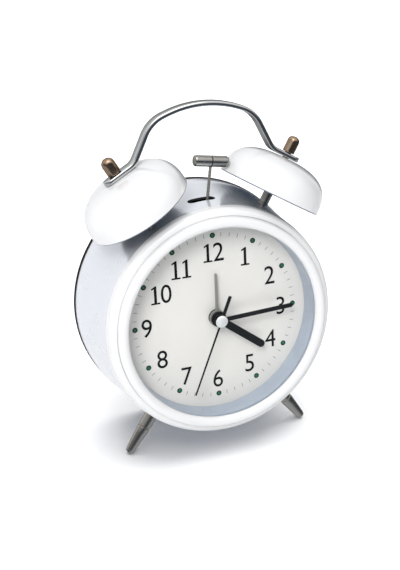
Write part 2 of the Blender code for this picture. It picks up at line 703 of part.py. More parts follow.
def make_hammer():
    """The axes empty is on the pivot, with local Y along the stem."""
    axes = new_empty("hammer_axes", (0, HAMMER_PIVOT_Y, HAMMER_Z), (0, 0, HAMMER_TILT), clock_axes)
    half = HEAD_LENGTH / 2
    side = [(HEAD_R - 0.9, half), (HEAD_R - 0.25, half - 0.3), (HEAD_R, half - 1.0), (HEAD_R, 0.2)]
    groove = [(HEAD_R - 0.15, 0.12), (HEAD_R - 0.15, -0.12)]
    profile = [(0, half)] + side + groove + [(r, -h) for r, h in side[::-1]] + [(0, -half)]
    head = turned("hammer_head", profile, ROUND_SMALL, axes, STEEL, (0, HAMMER_REACH, 0),
                  (0, math.pi / 2, 0))
    up = (-math.pi / 2, 0, 0)
    cut(head, turned("stem_bore", rod_profile(1.0, 0.6, -4.0), 16, axes, None, (0, HAMMER_REACH, 0), up))
    stem = rod_profile(0.7, HAMMER_REACH + 0.3, 2.0)
    turned("hammer_stem", stem, 12, axes, STEEL, rotation=up)
    lever = plate("hammer_lever", [rounded_rectangle(5.0, 9.8, 1.6, 3), circle(1.0, 20, (0, 1.5))],
                  -2.0, 2.0, axes, BLACK, (0, -1.5, 0))
    cut(lever, turned("stem_socket", rod_profile(1.0, 8.0, 1.7), 16, axes, None, rotation=up))


def make_hammer_drive():
    """Bracket plate with the pivot pin, a small motor behind it and the cam in front."""
    bracket = block("hammer_bracket", (24.0, 24.0, 1.2), clock_axes, DARK_STEEL, (0, 42.0, -23.9))
    hole(bracket, "cam_shaft_hole", 1.5, 3, -3, clock_axes, (0, CAM_Y, -23.9))
    hole(bracket, "pivot_pin_hole", 1.2, 3, -3, clock_axes, (0, HAMMER_PIVOT_Y, -23.9))
    pin = [(0, -15.8), (1.8, -15.8), (1.8, -16.6), (0.9, -16.6), (0.9, -24.8), (0, -24.8)]
    turned("hammer_pivot_pin", pin, 20, clock_axes, STEEL, (0, HAMMER_PIVOT_Y, 0))
    motor = turned("hammer_motor", rod_profile(7.5, -24.8, -38.0, 0.6), ROUND_SMALL, clock_axes, STEEL,
                   (0, CAM_Y, 0))
    hole(motor, "motor_shaft_hole", 1.3, -23, -29, clock_axes, (0, CAM_Y, 0))
    cam = [(0, -17.0), (CAM_R, -17.0), (CAM_R, -21.0), (1.0, -21.0), (1.0, -28.0), (0, -28.0)]
    cam_object = turned("hammer_cam", cam, ROUND_SMALL, clock_axes, MOVEMENT, (0, CAM_Y, 0))
    for number, turn in enumerate((0, 120, 240), start=1):
        a = math.radians(turn)
        spot = (5.2 * math.cos(a), CAM_Y + 5.2 * math.sin(a), 0)
        hole(cam_object, f"cam_scoop_{number}", 2.6, -16, -22, clock_axes, spot, facets=16)


# ---------------------------------------------------------------------------------------------
# Feet
# ---------------------------------------------------------------------------------------------

def make_foot(side):
    """Turned foot with a groove and a taper, held by a stud and a nut inside the drum."""
    seat = drum_radius(FOOT_Z) + 0.7
    groove = 64.0
    profile = [
        (0, 50.6), (STUD_R, 50.6), (STUD_R, seat), (FOOT_R - 0.3, seat), (FOOT_R, seat + 0.4),
        (FOOT_R, groove), (FOOT_R - 0.3, groove + 0.25), (FOOT_R, groove + 0.5), (FOOT_R - 0.1, 67.5),
        (FOOT_TIP_R + 0.25, FOOT_REACH - 1.0), (FOOT_TIP_R, FOOT_REACH), (0, FOOT_REACH),
    ]
    turned(side + "_foot", profile[::-1], ROUND_SMALL, FOOT_AXES[side], NICKEL)
    nut_top = drum_radius(FOOT_Z) - WALL - 0.6
    hexagon(side + "_foot_nut", 2.9, nut_top - 2.2, nut_top, FOOT_AXES[side], NICKEL)


def set_on_origin():
    """Move the clock so that the middle of its box's underside is at the world's origin."""
    bpy.context.view_layer.update()
    graph = bpy.context.evaluated_depsgraph_get()
    points = []
    for obj in PARTS.objects:
        if obj.type in {"MESH", "CURVE"}:
            evaluated = obj.evaluated_get(graph)
            mesh = evaluated.to_mesh()
            points += [evaluated.matrix_world @ vertex.co for vertex in mesh.vertices]
            evaluated.to_mesh_clear()
    low = Vector([min(p[i] for p in points) for i in range(3)])
    high = Vector([max(p[i] for p in points) for i in range(3)])
    middle = (low + high) / 2
    clock_axes.location -= Vector((middle.x, middle.y, low.z))


def main():
    make_drum()
    make_bezel()
    make_window()
    make_dial()
    make_second_hand()
    make_minute_hand()
    make_hour_hand()
    make_alarm_hand()
    make_motion_work()
    make_movement()
    make_battery()
    make_rear_cover()
    make_knob("time", KNOB_X, -24.0)
    make_knob("alarm", -KNOB_X, -17.5)
    make_switch()
    make_battery_door()
    for side in SIDES:
        make_bell(side)
        make_post(side)
        make_cap_nut(side)
        make_foot(side)
    make_handle()
    make_hammer()
    make_hammer_drive()
    set_on_origin()


main()
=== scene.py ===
"""Looks of the twin-bell alarm clock: fine meshes, materials, soft studio light and the camera.

Shapes are laid out in the clock's own axes, in millimetres: X to 3 o'clock, Y to 12 o'clock, Z out
of the dial towards the reader, with the origin in the middle of the window's front edge.
"""

import json
import math

import bmesh
import bpy
from mathutils import Euler, Matrix, Vector


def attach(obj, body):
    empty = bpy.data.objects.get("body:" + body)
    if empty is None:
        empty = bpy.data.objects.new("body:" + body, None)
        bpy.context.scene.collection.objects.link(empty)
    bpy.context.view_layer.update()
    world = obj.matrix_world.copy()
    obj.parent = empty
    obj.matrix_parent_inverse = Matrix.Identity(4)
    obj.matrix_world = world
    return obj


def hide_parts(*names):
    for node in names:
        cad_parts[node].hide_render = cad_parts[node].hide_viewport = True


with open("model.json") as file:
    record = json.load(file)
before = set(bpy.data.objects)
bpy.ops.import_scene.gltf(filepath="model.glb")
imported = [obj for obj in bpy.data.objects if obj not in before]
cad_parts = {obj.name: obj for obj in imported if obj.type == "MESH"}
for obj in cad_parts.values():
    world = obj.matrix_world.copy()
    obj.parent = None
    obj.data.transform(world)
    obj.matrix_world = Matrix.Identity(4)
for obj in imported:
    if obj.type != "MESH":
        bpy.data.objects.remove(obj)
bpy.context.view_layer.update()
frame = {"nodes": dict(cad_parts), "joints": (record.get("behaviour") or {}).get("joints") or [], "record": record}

MM = 0.001
PLACE = "place"          # each vertex's place in its piece's own axes, which textures follow
SIDES = {"left": -1, "right": 1}

# Sizes that the finer pieces share with the clock's CAD pieces
SECOND_ANGLE = math.radians(202.4)
MINUTE_ANGLE = math.radians(87.4)
HOUR_ANGLE = math.radians(127.3)
WINDOW_R = 46.5
BEZEL_R = 51.6
SHOULDER_R = 55.6
REAR_R = 59.6            # black edge of the rear cover
BAND_R = 59.25           # raised band round the drum's rear end
BAND_BACK = -49.1
TAPER_START = -7.0
TAPER_LENGTH = 36.0
TAPER_END_R = 58.95
BACK = -51.6
WALL = 1.0
DIAL_Z = -12.77
BELL_TILT = math.radians(30.2)
BELL_Z = -20.0
BELL_R = 25.2
BELL_RIM = 63.5
BELL_HEIGHT = 18.0
BELL_WALL = 0.9
STUD_R = 1.5
POST_R = 2.3
STUD_HOLE_R = 1.9
GAP = 0.3
STRIP = 2.3
STRIP_WIDTH = 6.2
STRIP_END = 6.5
HANDLE_ANKLE = -9.3      # along the foot, from the stud to the bend
HANDLE_SHOULDER = (25.0, 94.2)
HANDLE_TOP = (0.0, 103.4)
HANDLE_BENDS = (8.0, 16.0, 50.0, 16.0, 8.0)
CROWN_POWER = 0.55       # 1 is a half ellipse, and less is squarer
NUT_HEIGHT = 8.0
HAMMER_Z = -19.0
HAMMER_PIVOT_Y = 51.5
HAMMER_REACH = 22.1
HAMMER_TILT = math.radians(-8.1)
HEAD_R = 2.6
HEAD_LENGTH = 16.9
SLOT_CENTRE = (-2.7, -18.2)
SLOT_SIZE = (13.4, 5.0)
FOOT_TILT = math.radians(35.66)
FOOT_Z = -17.7
FOOT_R = 3.1
FOOT_TIP_R = 1.9
FOOT_REACH = 78.795
KNOB_X = 14.0
KNOB_Y = 10.0
KNOB_FLUTES = 16
BATTERY_Y = -31.0
DOOR_SIZE = (56.0, 18.0)
DOOR_THICKNESS = 1.6
SCREW_CIRCLE_R = 51.0
SCREW_ANGLES = (90, 210, 330)

# Facets
FINE = 192
MEDIUM = 96
SMALL = 48


# ---- Axes ----

def clock_axes():
    """The clock's own axes, from the joint that carries the second hand."""
    hub = next(j for j in frame["joints"] if j["name"] == "second_hand_turn")
    z = -Vector(hub["axis"]).normalized()
    x = Vector((1, 0, 0))
    turn = Matrix((x, z.cross(x), z)).transposed().to_4x4()
    return Matrix.Translation(Vector(hub["pos_m"])) @ turn


def at(parent, location=(0, 0, 0), rotation=(0, 0, 0)):
    spin = Euler(rotation).to_matrix().to_4x4()
    return parent @ Matrix.Translation(Vector(location) * MM) @ spin


CLOCK = clock_axes()
BELLS = {s: at(CLOCK, (0, 0, BELL_Z), (-math.pi / 2, 0, -k * BELL_TILT)) for s, k in SIDES.items()}
FEET = {s: at(CLOCK, (0, 0, FOOT_Z), (math.pi / 2, 0, k * FOOT_TILT)) for s, k in SIDES.items()}
HAMMER = at(CLOCK, (0, HAMMER_PIVOT_Y, HAMMER_Z), (0, 0, HAMMER_TILT))
ALONG_Y = (-math.pi / 2, 0, 0)
ALONG_X = (0, math.pi / 2, 0)


# ---- Materials ----

class Nodes:
    """Short calls for a material's node tree."""

    def __init__(self, name):
        self.material = bpy.data.materials.new(name)
        self.material.use_nodes = True
        self.tree = self.material.node_tree
        self.shader = self.tree.nodes["Principled BSDF"]
        place = self.tree.nodes.new("ShaderNodeAttribute")
        place.attribute_name = PLACE
        self.place = place.outputs["Vector"]

    def link(self, source, target):
        self.tree.links.new(source, target)

    def stretch(self, scale):
        mapping = self.tree.nodes.new("ShaderNodeMapping")
        mapping.inputs["Scale"].default_value = scale
        self.link(self.place, mapping.inputs["Vector"])
        return mapping.outputs["Vector"]

    def noise(self, scale, detail=4.0, roughness=0.55, stretch=None):
        node = self.tree.nodes.new("ShaderNodeTexNoise")
        node.inputs["Scale"].default_value = scale
        node.inputs["Detail"].default_value = detail
        node.inputs["Roughness"].default_value = roughness
        self.link(self.place if stretch is None else self.stretch(stretch), node.inputs["Vector"])
        return node.outputs["Fac"]

    def spread(self, value, low, high, start=0.3, stop=0.7):
        node = self.tree.nodes.new("ShaderNodeMapRange")
        node.inputs["From Min"].default_value = start
        node.inputs["From Max"].default_value = stop
        node.inputs["To Min"].default_value = low
        node.inputs["To Max"].default_value = high
        self.link(value, node.inputs["Value"])
        return node.outputs["Result"]

    def blend(self, share, first, second):
        node = self.tree.nodes.new("ShaderNodeMix")
        node.data_type = "RGBA"
        for name, value in (("A", first), ("B", second)):
            socket = next(s for s in node.inputs if s.name == name and s.type == "RGBA")
            if isinstance(value, tuple):
                socket.default_value = (*value, 1.0)
            else:
                self.link(value, socket)
        self.link(share, node.inputs["Factor"])
        return next(s for s in node.outputs if s.type == "RGBA")

    def bump(self, height, strength, distance):
        node = self.tree.nodes.new("ShaderNodeBump")
        node.inputs["Strength"].default_value = strength
        node.inputs["Distance"].default_value = distance * MM
        self.link(height, node.inputs["Height"])
        return node.outputs["Normal"]

    def edges(self, start, stop):
        """0 on flat and hollow places, 1 along outer edges."""
        geometry = self.tree.nodes.new("ShaderNodeNewGeometry")
        return self.spread(geometry.outputs["Pointiness"], 0.0, 1.0, start, stop)


def shade(color, factor):
    return tuple(min(c * factor, 1.0) for c in color)


def finish_of(name, color, rough, metal=0.0, vary=0.05, patch=60.0, rough_vary=0.3, grain=900.0,
              grain_depth=0.01, stretch=None, wear=None, **constants):
    """A material whose colour drifts in patches, whose gloss varies and whose surface has a grain.
    wear is (colour, share) for outer edges; constants are set on the shader's own sockets."""
    nodes = Nodes(name)
    tone = nodes.blend(nodes.spread(nodes.noise(patch, 3.0), 0.0, 1.0), shade(color, 1 - vary),
                       shade(color, 1 + vary))
    if wear is not None:
        worn, share = wear
        rubbed = nodes.spread(nodes.noise(patch * 6, 5.0), 0.0, share, 0.35, 0.65)
        edge = nodes.tree.nodes.new("ShaderNodeMath")
        edge.operation = "MULTIPLY"
        nodes.link(nodes.edges(0.53, 0.62), edge.inputs[0])
        nodes.link(rubbed, edge.inputs[1])
        tone = nodes.blend(edge.outputs[0], tone, worn)
    nodes.link(tone, nodes.shader.inputs["Base Color"])
    fine = nodes.noise(grain, 3.0, 0.6, stretch)
    gloss = nodes.spread(nodes.noise(patch * 3, 4.0, 0.6, stretch), rough * (1 - rough_vary),
                         rough * (1 + rough_vary))
    nodes.link(gloss, nodes.shader.inputs["Roughness"])
    nodes.link(nodes.bump(fine, 1.0, grain_depth), nodes.shader.inputs["Normal"])
    nodes.shader.inputs["Metallic"].default_value = metal
    for socket, value in constants.items():
        nodes.shader.inputs[socket.replace("_", " ")].default_value = value
    return nodes.material


GLASS_HAZE = 0.018       # share of the view that the glass mirrors head on
GLASS_GLARE = 0.75       # and what a slant adds to it


def glass_of(name):
    """Thin clear glass: see-through head on and a mirror at a slant, with faint dust in its gloss."""
    nodes = Nodes(name)
    tint = nodes.blend(nodes.spread(nodes.noise(25.0), 0.0, 1.0), (0.93, 0.96, 0.97), (1.0, 1.0, 1.0))
    nodes.link(tint, nodes.shader.inputs["Base Color"])
    nodes.link(nodes.spread(nodes.noise(140.0), 0.01, 0.05), nodes.shader.inputs["Roughness"])
    nodes.link(nodes.bump(nodes.noise(18.0, 1.0), 0.2, 0.05), nodes.shader.inputs["Normal"])
    slant = nodes.tree.nodes.new("ShaderNodeLayerWeight").outputs["Facing"]
    for operation, *values in (("POWER", 5.0), ("MULTIPLY_ADD", GLASS_GLARE, GLASS_HAZE)):
        step = nodes.tree.nodes.new("ShaderNodeMath")
        step.operation = operation
        nodes.link(slant, step.inputs[0])
        for socket, value in zip(list(step.inputs)[1:], values):
            socket.default_value = value
        slant = step.outputs[0]
    nodes.link(slant, nodes.shader.inputs["Alpha"])
    nodes.shader.inputs["Metallic"].default_value = 1.0
    return nodes.material


PAINT = finish_of("white_gloss_paint", (0.70, 0.70, 0.705), 0.12, vary=0.012, patch=35.0,
                  grain=420.0, grain_depth=0.0015, wear=((0.74, 0.73, 0.71), 0.3), Coat_Weight=0.6,
                  Coat_Roughness=0.04)
DRUM_PAINT = finish_of("pearl_drum_paint", (0.75, 0.775, 0.82), 0.22, metal=0.55, vary=0.015,
                       patch=30.0, grain=420.0, grain_depth=0.0010, Coat_Weight=0.6,
                       Coat_Roughness=0.15)
# slate inside the bells: partly their plain inner finish, partly painted shade under the bells; on the rim's
# downward faces it is a painted shade line along the rim
PRIMER_AND_PAINTED_SHADE = finish_of("slate_primer_and_painted_shade", (0.13, 0.17, 0.22), 0.35, metal=0.2, vary=0.15, grain=1500.0,
                   grain_depth=0.01)
# painted shade: the drum's inside is coloured near black to stand for the shade inside the closed drum, seen
# through the hammer slot
INSIDE_PAINTED_SHADE = finish_of("painted_shade_inside", (0.02, 0.022, 0.025), 0.6, vary=0.2, grain=1200.0)
GLASS = glass_of("window_glass")
# painted shade: the dial ring is white plastic, coloured blue-grey for the shade that falls on it in the recess
# behind the bezel
RING_PAINTED_SHADE = finish_of("ring_blue_grey_painted_shade", (0.36, 0.41, 0.48), 0.38, vary=0.04, patch=90.0, grain=2200.0,
                 grain_depth=0.006)
PAPER = finish_of("dial_card", (0.69, 0.68, 0.65), 0.55, vary=0.015, patch=45.0, grain=2600.0,
                  grain_depth=0.006)
INK = finish_of("black_ink", (0.006, 0.0065, 0.0065), 0.6, vary=0.2, patch=200.0, grain=2400.0,
                grain_depth=0.004, Specular_IOR_Level=0.1)
TICK_INK = finish_of("grey_ink", (0.10, 0.10, 0.095), 0.55, vary=0.2, patch=200.0, grain=2400.0,
                     grain_depth=0.004)
GREEN = finish_of("green_ink", (0.006, 0.13, 0.055), 0.45, vary=0.25, patch=400.0, grain=2400.0,
                  grain_depth=0.004)
HAND = finish_of("black_hand_paint", (0.006, 0.0065, 0.0065), 0.40, vary=0.1, patch=40.0,
                 rough_vary=0.15, grain=900.0, grain_depth=0.0008, Specular_IOR_Level=0.3)
GREY_HAND = finish_of("grey_hand_metal", (0.30, 0.30, 0.28), 0.35, metal=0.3, vary=0.08,
                      grain=1800.0, grain_depth=0.002)
CHROME = finish_of("polished_steel_strip", (0.62, 0.63, 0.62), 0.13, metal=1.0, vary=0.05, patch=50.0,
                   grain=260.0, grain_depth=0.0016, stretch=(1.0, 1.0, 9.0),
                   wear=((0.30, 0.30, 0.29), 0.35), Specular_Tint=(0.20, 0.20, 0.20, 1.0))
STEEL = finish_of("satin_steel", (0.38, 0.37, 0.35), 0.20, metal=1.0, vary=0.05, patch=90.0,
                  grain=420.0, grain_depth=0.0002, stretch=(1.0, 1.0, 8.0),
                  wear=((0.22, 0.21, 0.20), 0.5), Specular_Tint=(0.15, 0.15, 0.14, 1.0))
WIRE = finish_of("dull_wire", (0.26, 0.25, 0.23), 0.30, metal=0.5, vary=0.06, patch=90.0, grain=420.0,
                 grain_depth=0.0004, stretch=(1.0, 1.0, 8.0))
POST = finish_of("dark_steel_post", (0.26, 0.25, 0.235), 0.24, metal=1.0, vary=0.07, patch=90.0,
                 grain=420.0, grain_depth=0.0002, stretch=(1.0, 1.0, 8.0),
                 wear=((0.14, 0.135, 0.13), 0.5), Specular_Tint=(0.15, 0.15, 0.14, 1.0))
BRONZE = finish_of("bronze_nut_plate", (0.36, 0.26, 0.185), 0.22, metal=1.0, vary=0.05, patch=90.0,
                   rough_vary=0.2, grain=420.0, grain_depth=0.0003, wear=((0.60, 0.50, 0.40), 0.6),
                   Specular_Tint=(0.18, 0.14, 0.11, 1.0))
NICKEL = finish_of("turned_nickel", (0.44, 0.41, 0.37), 0.24, metal=1.0, vary=0.04, patch=90.0,
                   rough_vary=0.1, grain=520.0, grain_depth=0.00015, stretch=(1.0, 1.0, 9.0),
                   Specular_Tint=(0.25, 0.24, 0.22, 1.0))
SILVER = finish_of("silver_cap_metal", (0.78, 0.80, 0.80), 0.20, metal=0.35, vary=0.08, patch=260.0,
                   grain=420.0, grain_depth=0.04)
BLACK = finish_of("black_moulding", (0.012, 0.012, 0.013), 0.45, vary=0.12, patch=70.0, grain=1500.0,
                  grain_depth=0.008, wear=((0.03, 0.03, 0.031), 0.5))
EDGE_BLACK = finish_of("matt_black_edge", (0.006, 0.006, 0.0065), 0.75, vary=0.15, patch=70.0,
                       grain=1500.0, grain_depth=0.01, Specular_IOR_Level=0.12)
SCREW = finish_of("screw_steel", (0.30, 0.29, 0.28), 0.3, metal=1.0, vary=0.12, patch=300.0,
                  grain=900.0, grain_depth=0.002, wear=((0.55, 0.54, 0.52), 0.6))
BRASS = finish_of("wheel_brass", (0.66, 0.48, 0.22), 0.28, metal=1.0, vary=0.1, patch=150.0,
                  grain_depth=0.002)
MOULDING = finish_of("ivory_moulding", (0.74, 0.73, 0.68), 0.45, vary=0.05, patch=80.0, grain=1400.0,
                     grain_depth=0.006)
BOARD = finish_of("green_board", (0.035, 0.17, 0.075), 0.4, vary=0.3, patch=300.0, grain=2000.0)
COPPER = finish_of("copper_winding", (0.60, 0.27, 0.13), 0.32, metal=1.0, vary=0.15, patch=300.0,
                   grain=900.0, grain_depth=0.02, stretch=(6.0, 1.0, 1.0))
WRAP = finish_of("cell_wrap", (0.07, 0.09, 0.13), 0.32, vary=0.12, patch=100.0, grain_depth=0.002)

CARRIED_OVER = {
    "white_paint": PAINT, "clear_lens": GLASS, "grey_surround": RING_PAINTED_SHADE, "dial_paper": PAPER,
    "black_plastic": BLACK, "black_hand": HAND, "grey_hand": GREY_HAND, "polished_steel": STEEL,
    "dark_steel": POST, "bronze_nut": BRONZE, "nickel": NICKEL, "silver_cap": SILVER, "brass": BRASS,
    "movement_plastic": MOULDING, "circuit_board": BOARD, "copper_wire": COPPER, "battery_wrap": WRAP,
}


def note_places(mesh):
    places = mesh.attributes.new(PLACE, "FLOAT_VECTOR", "POINT")
    places.data.foreach_set("vector", [c for vertex in mesh.vertices for c in vertex.co])


def settle(pieces):
    """Move each piece's own axes into its vertices, so that its box is exact."""
    for obj in pieces:
        note_places(obj.data)
        obj.data.transform(obj.matrix_world)
        obj.matrix_world = Matrix.Identity(4)


def dress_cad_nodes():
    """Give each CAD node the finish of the record's slot that it names."""
    slots = {part["node"]: part["material_slot"] for part in frame["record"]["subparts"]}
    for name, obj in frame["nodes"].items():
        obj.data.materials.clear()
        obj.data.materials.append(CARRIED_OVER[slots[name]])
        note_places(obj.data)


# ---- Shapes ----

PIECES = []


def eased(points, radius, closed=False, steps=3, keep=math.radians(16)):
    """An outline with each corner sharper than keep rounded off."""
    out = []
    count = len(points)
    for i, point in enumerate(points):
        if not closed and i in (0, count - 1):
            out.append(tuple(point))
            continue
        corner = Vector(point)
        back = Vector(points[i - 1]) - corner
        ahead = Vector(points[(i + 1) % count]) - corner
        limit = 0.45 * min(back.length, ahead.length)
        turn = math.pi - back.angle(ahead)
        if turn < keep:
            out.append(tuple(point))
            continue
        reach = min(radius * math.tan(min(turn, 2.6) / 2), limit)
        start = corner + back.normalized() * reach
        stop = corner + ahead.normalized() * reach
        for k in range(steps + 1):
            t = k / steps
            out.append(tuple((1 - t) ** 2 * start + 2 * t * (1 - t) * corner + t * t * stop))
    return out


def arc(centre, radii, start, stop, count):
    """Points on an ellipse between two angles in degrees."""
    angles = [math.radians(start + (stop - start) * i / count) for i in range(count + 1)]
    return [(centre[0] + radii[0] * math.cos(a), centre[1] + radii[1] * math.sin(a)) for a in angles]


def neighbours(rings, closed):
    """Each ring with the next one, and the last with the first if closed."""
    return list(zip(rings, rings[1:])) + ([(rings[-1], rings[0])] if closed else [])


def lathe(profile, facets, closed=False, shape=None):
    """A mesh turned about local Z; shape(angle, radius, height) may change the radius."""
    bm = bmesh.new()
    rings = []
    for radius, height in profile:
        if radius < 0.0001:
            rings.append([bm.verts.new((0, 0, height * MM))])
            continue
        ring = []
        for i in range(facets):
            a = 2 * math.pi * i / facets
            r = radius if shape is None else shape(a, radius, height)
            ring.append(bm.verts.new((r * math.cos(a) * MM, r * math.sin(a) * MM, height * MM)))
        rings.append(ring)
    for upper, lower in neighbours(rings, closed):
        for i in range(facets):
            j = (i + 1) % facets
            if len(upper) == 1:
                bm.faces.new((upper[0], lower[i], lower[j]))
            elif len(lower) == 1:
                bm.faces.new((upper[j], upper[i], lower[0]))
            else:
                bm.faces.new((upper[i], lower[i], lower[j], upper[j]))
    bmesh.ops.recalc_face_normals(bm, faces=bm.faces)
    return bm


def swept(rings, closed=False):
    """A mesh through rings of points that have the same count, with its ends filled."""
    bm = bmesh.new()
    loops = [[bm.verts.new(Vector(p) * MM) for p in ring] for ring in rings]
    for one, two in neighbours(loops, closed):
        for i in range(len(one)):
            j = (i + 1) % len(one)
            bm.faces.new((one[i], two[i], two[j], one[j]))
    if not closed:
        bm.faces.new(loops[0])
        bm.faces.new(loops[-1][::-1])
    bmesh.ops.recalc_face_normals(bm, faces=bm.faces)
    return bm


def plate(outlines, bottom, top, edge):
    """A flat plate with rounded edges; later outlines inside the first are holes."""
    curve = bpy.data.curves.new("outline", "CURVE")
    curve.dimensions = "2D"
    curve.fill_mode = "BOTH"
    curve.extrude = ((top - bottom) / 2 - edge) * MM
    curve.bevel_depth = edge * MM
    curve.bevel_resolution = 2
    curve.offset = -edge * MM
    for points in outlines:
        spline = curve.splines.new("POLY")
        spline.points.add(len(points) - 1)
        for point, (x, y) in zip(spline.points, points):
            point.co = (x * MM, y * MM, 0, 1)
        spline.use_cyclic_u = True
    return flattened(curve, (top + bottom) / 2)


def flattened(curve, lift):
    """The mesh of a curve or text, welded and raised by lift."""
    obj = bpy.data.objects.new("outline", curve)
    bpy.context.scene.collection.objects.link(obj)
    bpy.context.view_layer.update()
    graph = bpy.context.evaluated_depsgraph_get()
    mesh = bpy.data.meshes.new_from_object(obj.evaluated_get(graph))
    bpy.data.objects.remove(obj)
    bpy.data.curves.remove(curve)
    bm = bmesh.new()
    bm.from_mesh(mesh)
    bpy.data.meshes.remove(mesh)
    bmesh.ops.remove_doubles(bm, verts=bm.verts, dist=0.000002)
    bmesh.ops.translate(bm, verts=bm.verts, vec=(0, 0, lift * MM))
    bmesh.ops.recalc_face_normals(bm, faces=bm.faces)
    return bm


def circle(radius, count, centre=(0, 0)):
    return arc(centre, (radius, radius), 0, 360 - 360 / count, count - 1)


def rounded_rectangle(width, height, radius, steps=6):
    points = []
    for sx, sy, start in ((1, 1, 0), (-1, 1, 90), (-1, -1, 180), (1, -1, 270)):
        centre = (sx * (width / 2 - radius), sy * (height / 2 - radius))
        points += arc(centre, (radius, radius), start, start + 90, steps)
    return points


def add(name, bm, axes, body, material, nodes=(), crease=38.0, more_materials=()):
    """Turn a bmesh into a piece that rides on a body and stands for some CAD nodes."""
    mesh = bpy.data.meshes.new(name)
    bm.to_mesh(mesh)
    bm.free()
    mesh.shade_smooth()
    mesh.set_sharp_from_angle(angle=math.radians(crease))
    for each in (material, *more_materials):
        mesh.materials.append(each)
    obj = bpy.data.objects.new(name, mesh)
    bpy.context.scene.collection.objects.link(obj)
    obj.matrix_world = axes
    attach(obj, body)
    PIECES.append(obj)
    if nodes:
        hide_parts(*nodes)
    return obj


def even_normals(obj):
    """Keep large faces flat beside their rounded edges."""
    weighted = obj.modifiers.new("Even normals", "WEIGHTED_NORMAL")
    weighted.keep_sharp = True
    return obj


def cut(obj, cutters):
    """Take cutters, pairs of a bmesh and its axes, out of obj."""
    made = []
    for bm, axes in cutters:
        mesh = bpy.data.meshes.new("cutter")
        bm.to_mesh(mesh)
        bm.free()
        cutter = bpy.data.objects.new("cutter", mesh)
        bpy.context.scene.collection.objects.link(cutter)
        cutter.matrix_world = axes
        boolean = obj.modifiers.new("Cut", "BOOLEAN")
        boolean.operation = "DIFFERENCE"
        boolean.solver = "EXACT"
        boolean.object = cutter
        made.append(cutter)
    bpy.context.view_layer.update()
    graph = bpy.context.evaluated_depsgraph_get()
    mesh = bpy.data.meshes.new_from_object(obj.evaluated_get(graph))
    obj.modifiers.clear()
    obj.data = mesh
    mesh.shade_smooth()
    mesh.set_sharp_from_angle(angle=math.radians(38))
    for cutter in made:
        bpy.data.objects.remove(cutter)
    return obj


def drill(radius, top, bottom, facets=SMALL):
    return lathe([(0, top), (radius, top), (radius, bottom), (0, bottom)], facets)


# ---- Drum, bezel, window and dial ----

def drum_radius(z):
    share = (TAPER_START - z) / TAPER_LENGTH
    return SHOULDER_R + (TAPER_END_R - SHOULDER_R) * min(max(share, 0.0), 1.0) ** 1.15


def paint_faces(obj, index, picked):
    """Give another of its materials to the faces that picked chooses by centre and normal."""
    for face in obj.data.polygons:
        if picked(face.center / MM, face.normal):
            face.material_index = index


def make_drum():
    front = eased([(51.9, -1.5), (53.8, -2.1), (55.1, -3.8), (55.6, -6.4), (55.75, -9.0)], 2.5, steps=5)
    taper = [(drum_radius(z), z) for z in range(-12, -42, -3)]
    band = eased([(58.9, -42.3), (BAND_R, -43.4), (BAND_R, -47.0), (BAND_R, BAND_BACK)], 0.6)
    inner = [(REAR_R - WALL, BAND_BACK), (REAR_R - WALL, -42.6)]
    inner += [(drum_radius(z) - WALL, z) for z in (-31.0, -20.0, -9.0)]
    inner += [(54.4, -5.6), (53.2, -4.7), (48.6, -4.7), (48.6, -3.7), (51.7, -3.7), (51.7, -1.5)]
    drum = add("drum_shell", lathe(front + taper + band + inner, FINE, closed=True), CLOCK, "clock",
               DRUM_PAINT, ["case_drum"], more_materials=(INSIDE_PAINTED_SHADE, PAINT))
    slot_x, slot_z = SLOT_CENTRE
    slot = plate([rounded_rectangle(*SLOT_SIZE, SLOT_SIZE[1] / 2 - 0.1)], 50, 62, 0.01)
    cutters = [(slot, at(CLOCK, (slot_x, 0, slot_z), ALONG_Y))]
    for side in SIDES:
        cutters.append((drill(STUD_HOLE_R, 62, 50), BELLS[side]))
        cutters.append((drill(STUD_HOLE_R, 62, 50), FEET[side]))
    cut(drum, cutters)
    even_normals(drum)

    def on_shoulder(centre, normal):
        return centre.z > -7.2

    # the drum's inner faces, which get the near-black painted shade
    def inner_with_painted_shade(centre, normal):
        outward = Vector((centre.x, centre.y)).normalized().dot(normal.xy)
        return centre.z < -3.9 and outward < 0.5
    paint_faces(drum, 2, on_shoulder)
    paint_faces(drum, 1, inner_with_painted_shade)


def make_bezel():
    crown = arc(((WINDOW_R + BEZEL_R) / 2, -0.9), ((BEZEL_R - WINDOW_R) / 2, 2.3), 180, 0, 28)
    base = eased([(BEZEL_R, -0.9), (BEZEL_R, -3.4), (48.4, -3.4), (48.4, -1.1), (WINDOW_R, -1.1),
                  (WINDOW_R, -0.9)], 0.25)
    bezel = add("bezel_ring", lathe(crown + base[1:-1], FINE, closed=True), CLOCK, "clock", PAINT,
                ["front_bezel"])
    even_normals(bezel)


def make_window():
    front = [(48.1 * i / 10, -1.42 - 0.35 * (i / 10) ** 2) for i in range(11)]
    lens = add("window_glass_disc", lathe(front + [(48.1, -3.0), (0, -3.0)], FINE), CLOCK, "clock",
               GLASS, ["window_lens"])
    even_normals(lens)
    ring = eased([(46.7, -3.3), (48.3, -3.3), (48.3, -11.0), (53.8, -11.0), (53.8, -12.45),
                  (46.1, -12.45)], 0.3, closed=True)
    even_normals(add("dial_ring", lathe(ring, FINE, closed=True), CLOCK, "clock", RING_PAINTED_SHADE,
                     ["dial_surround"]))


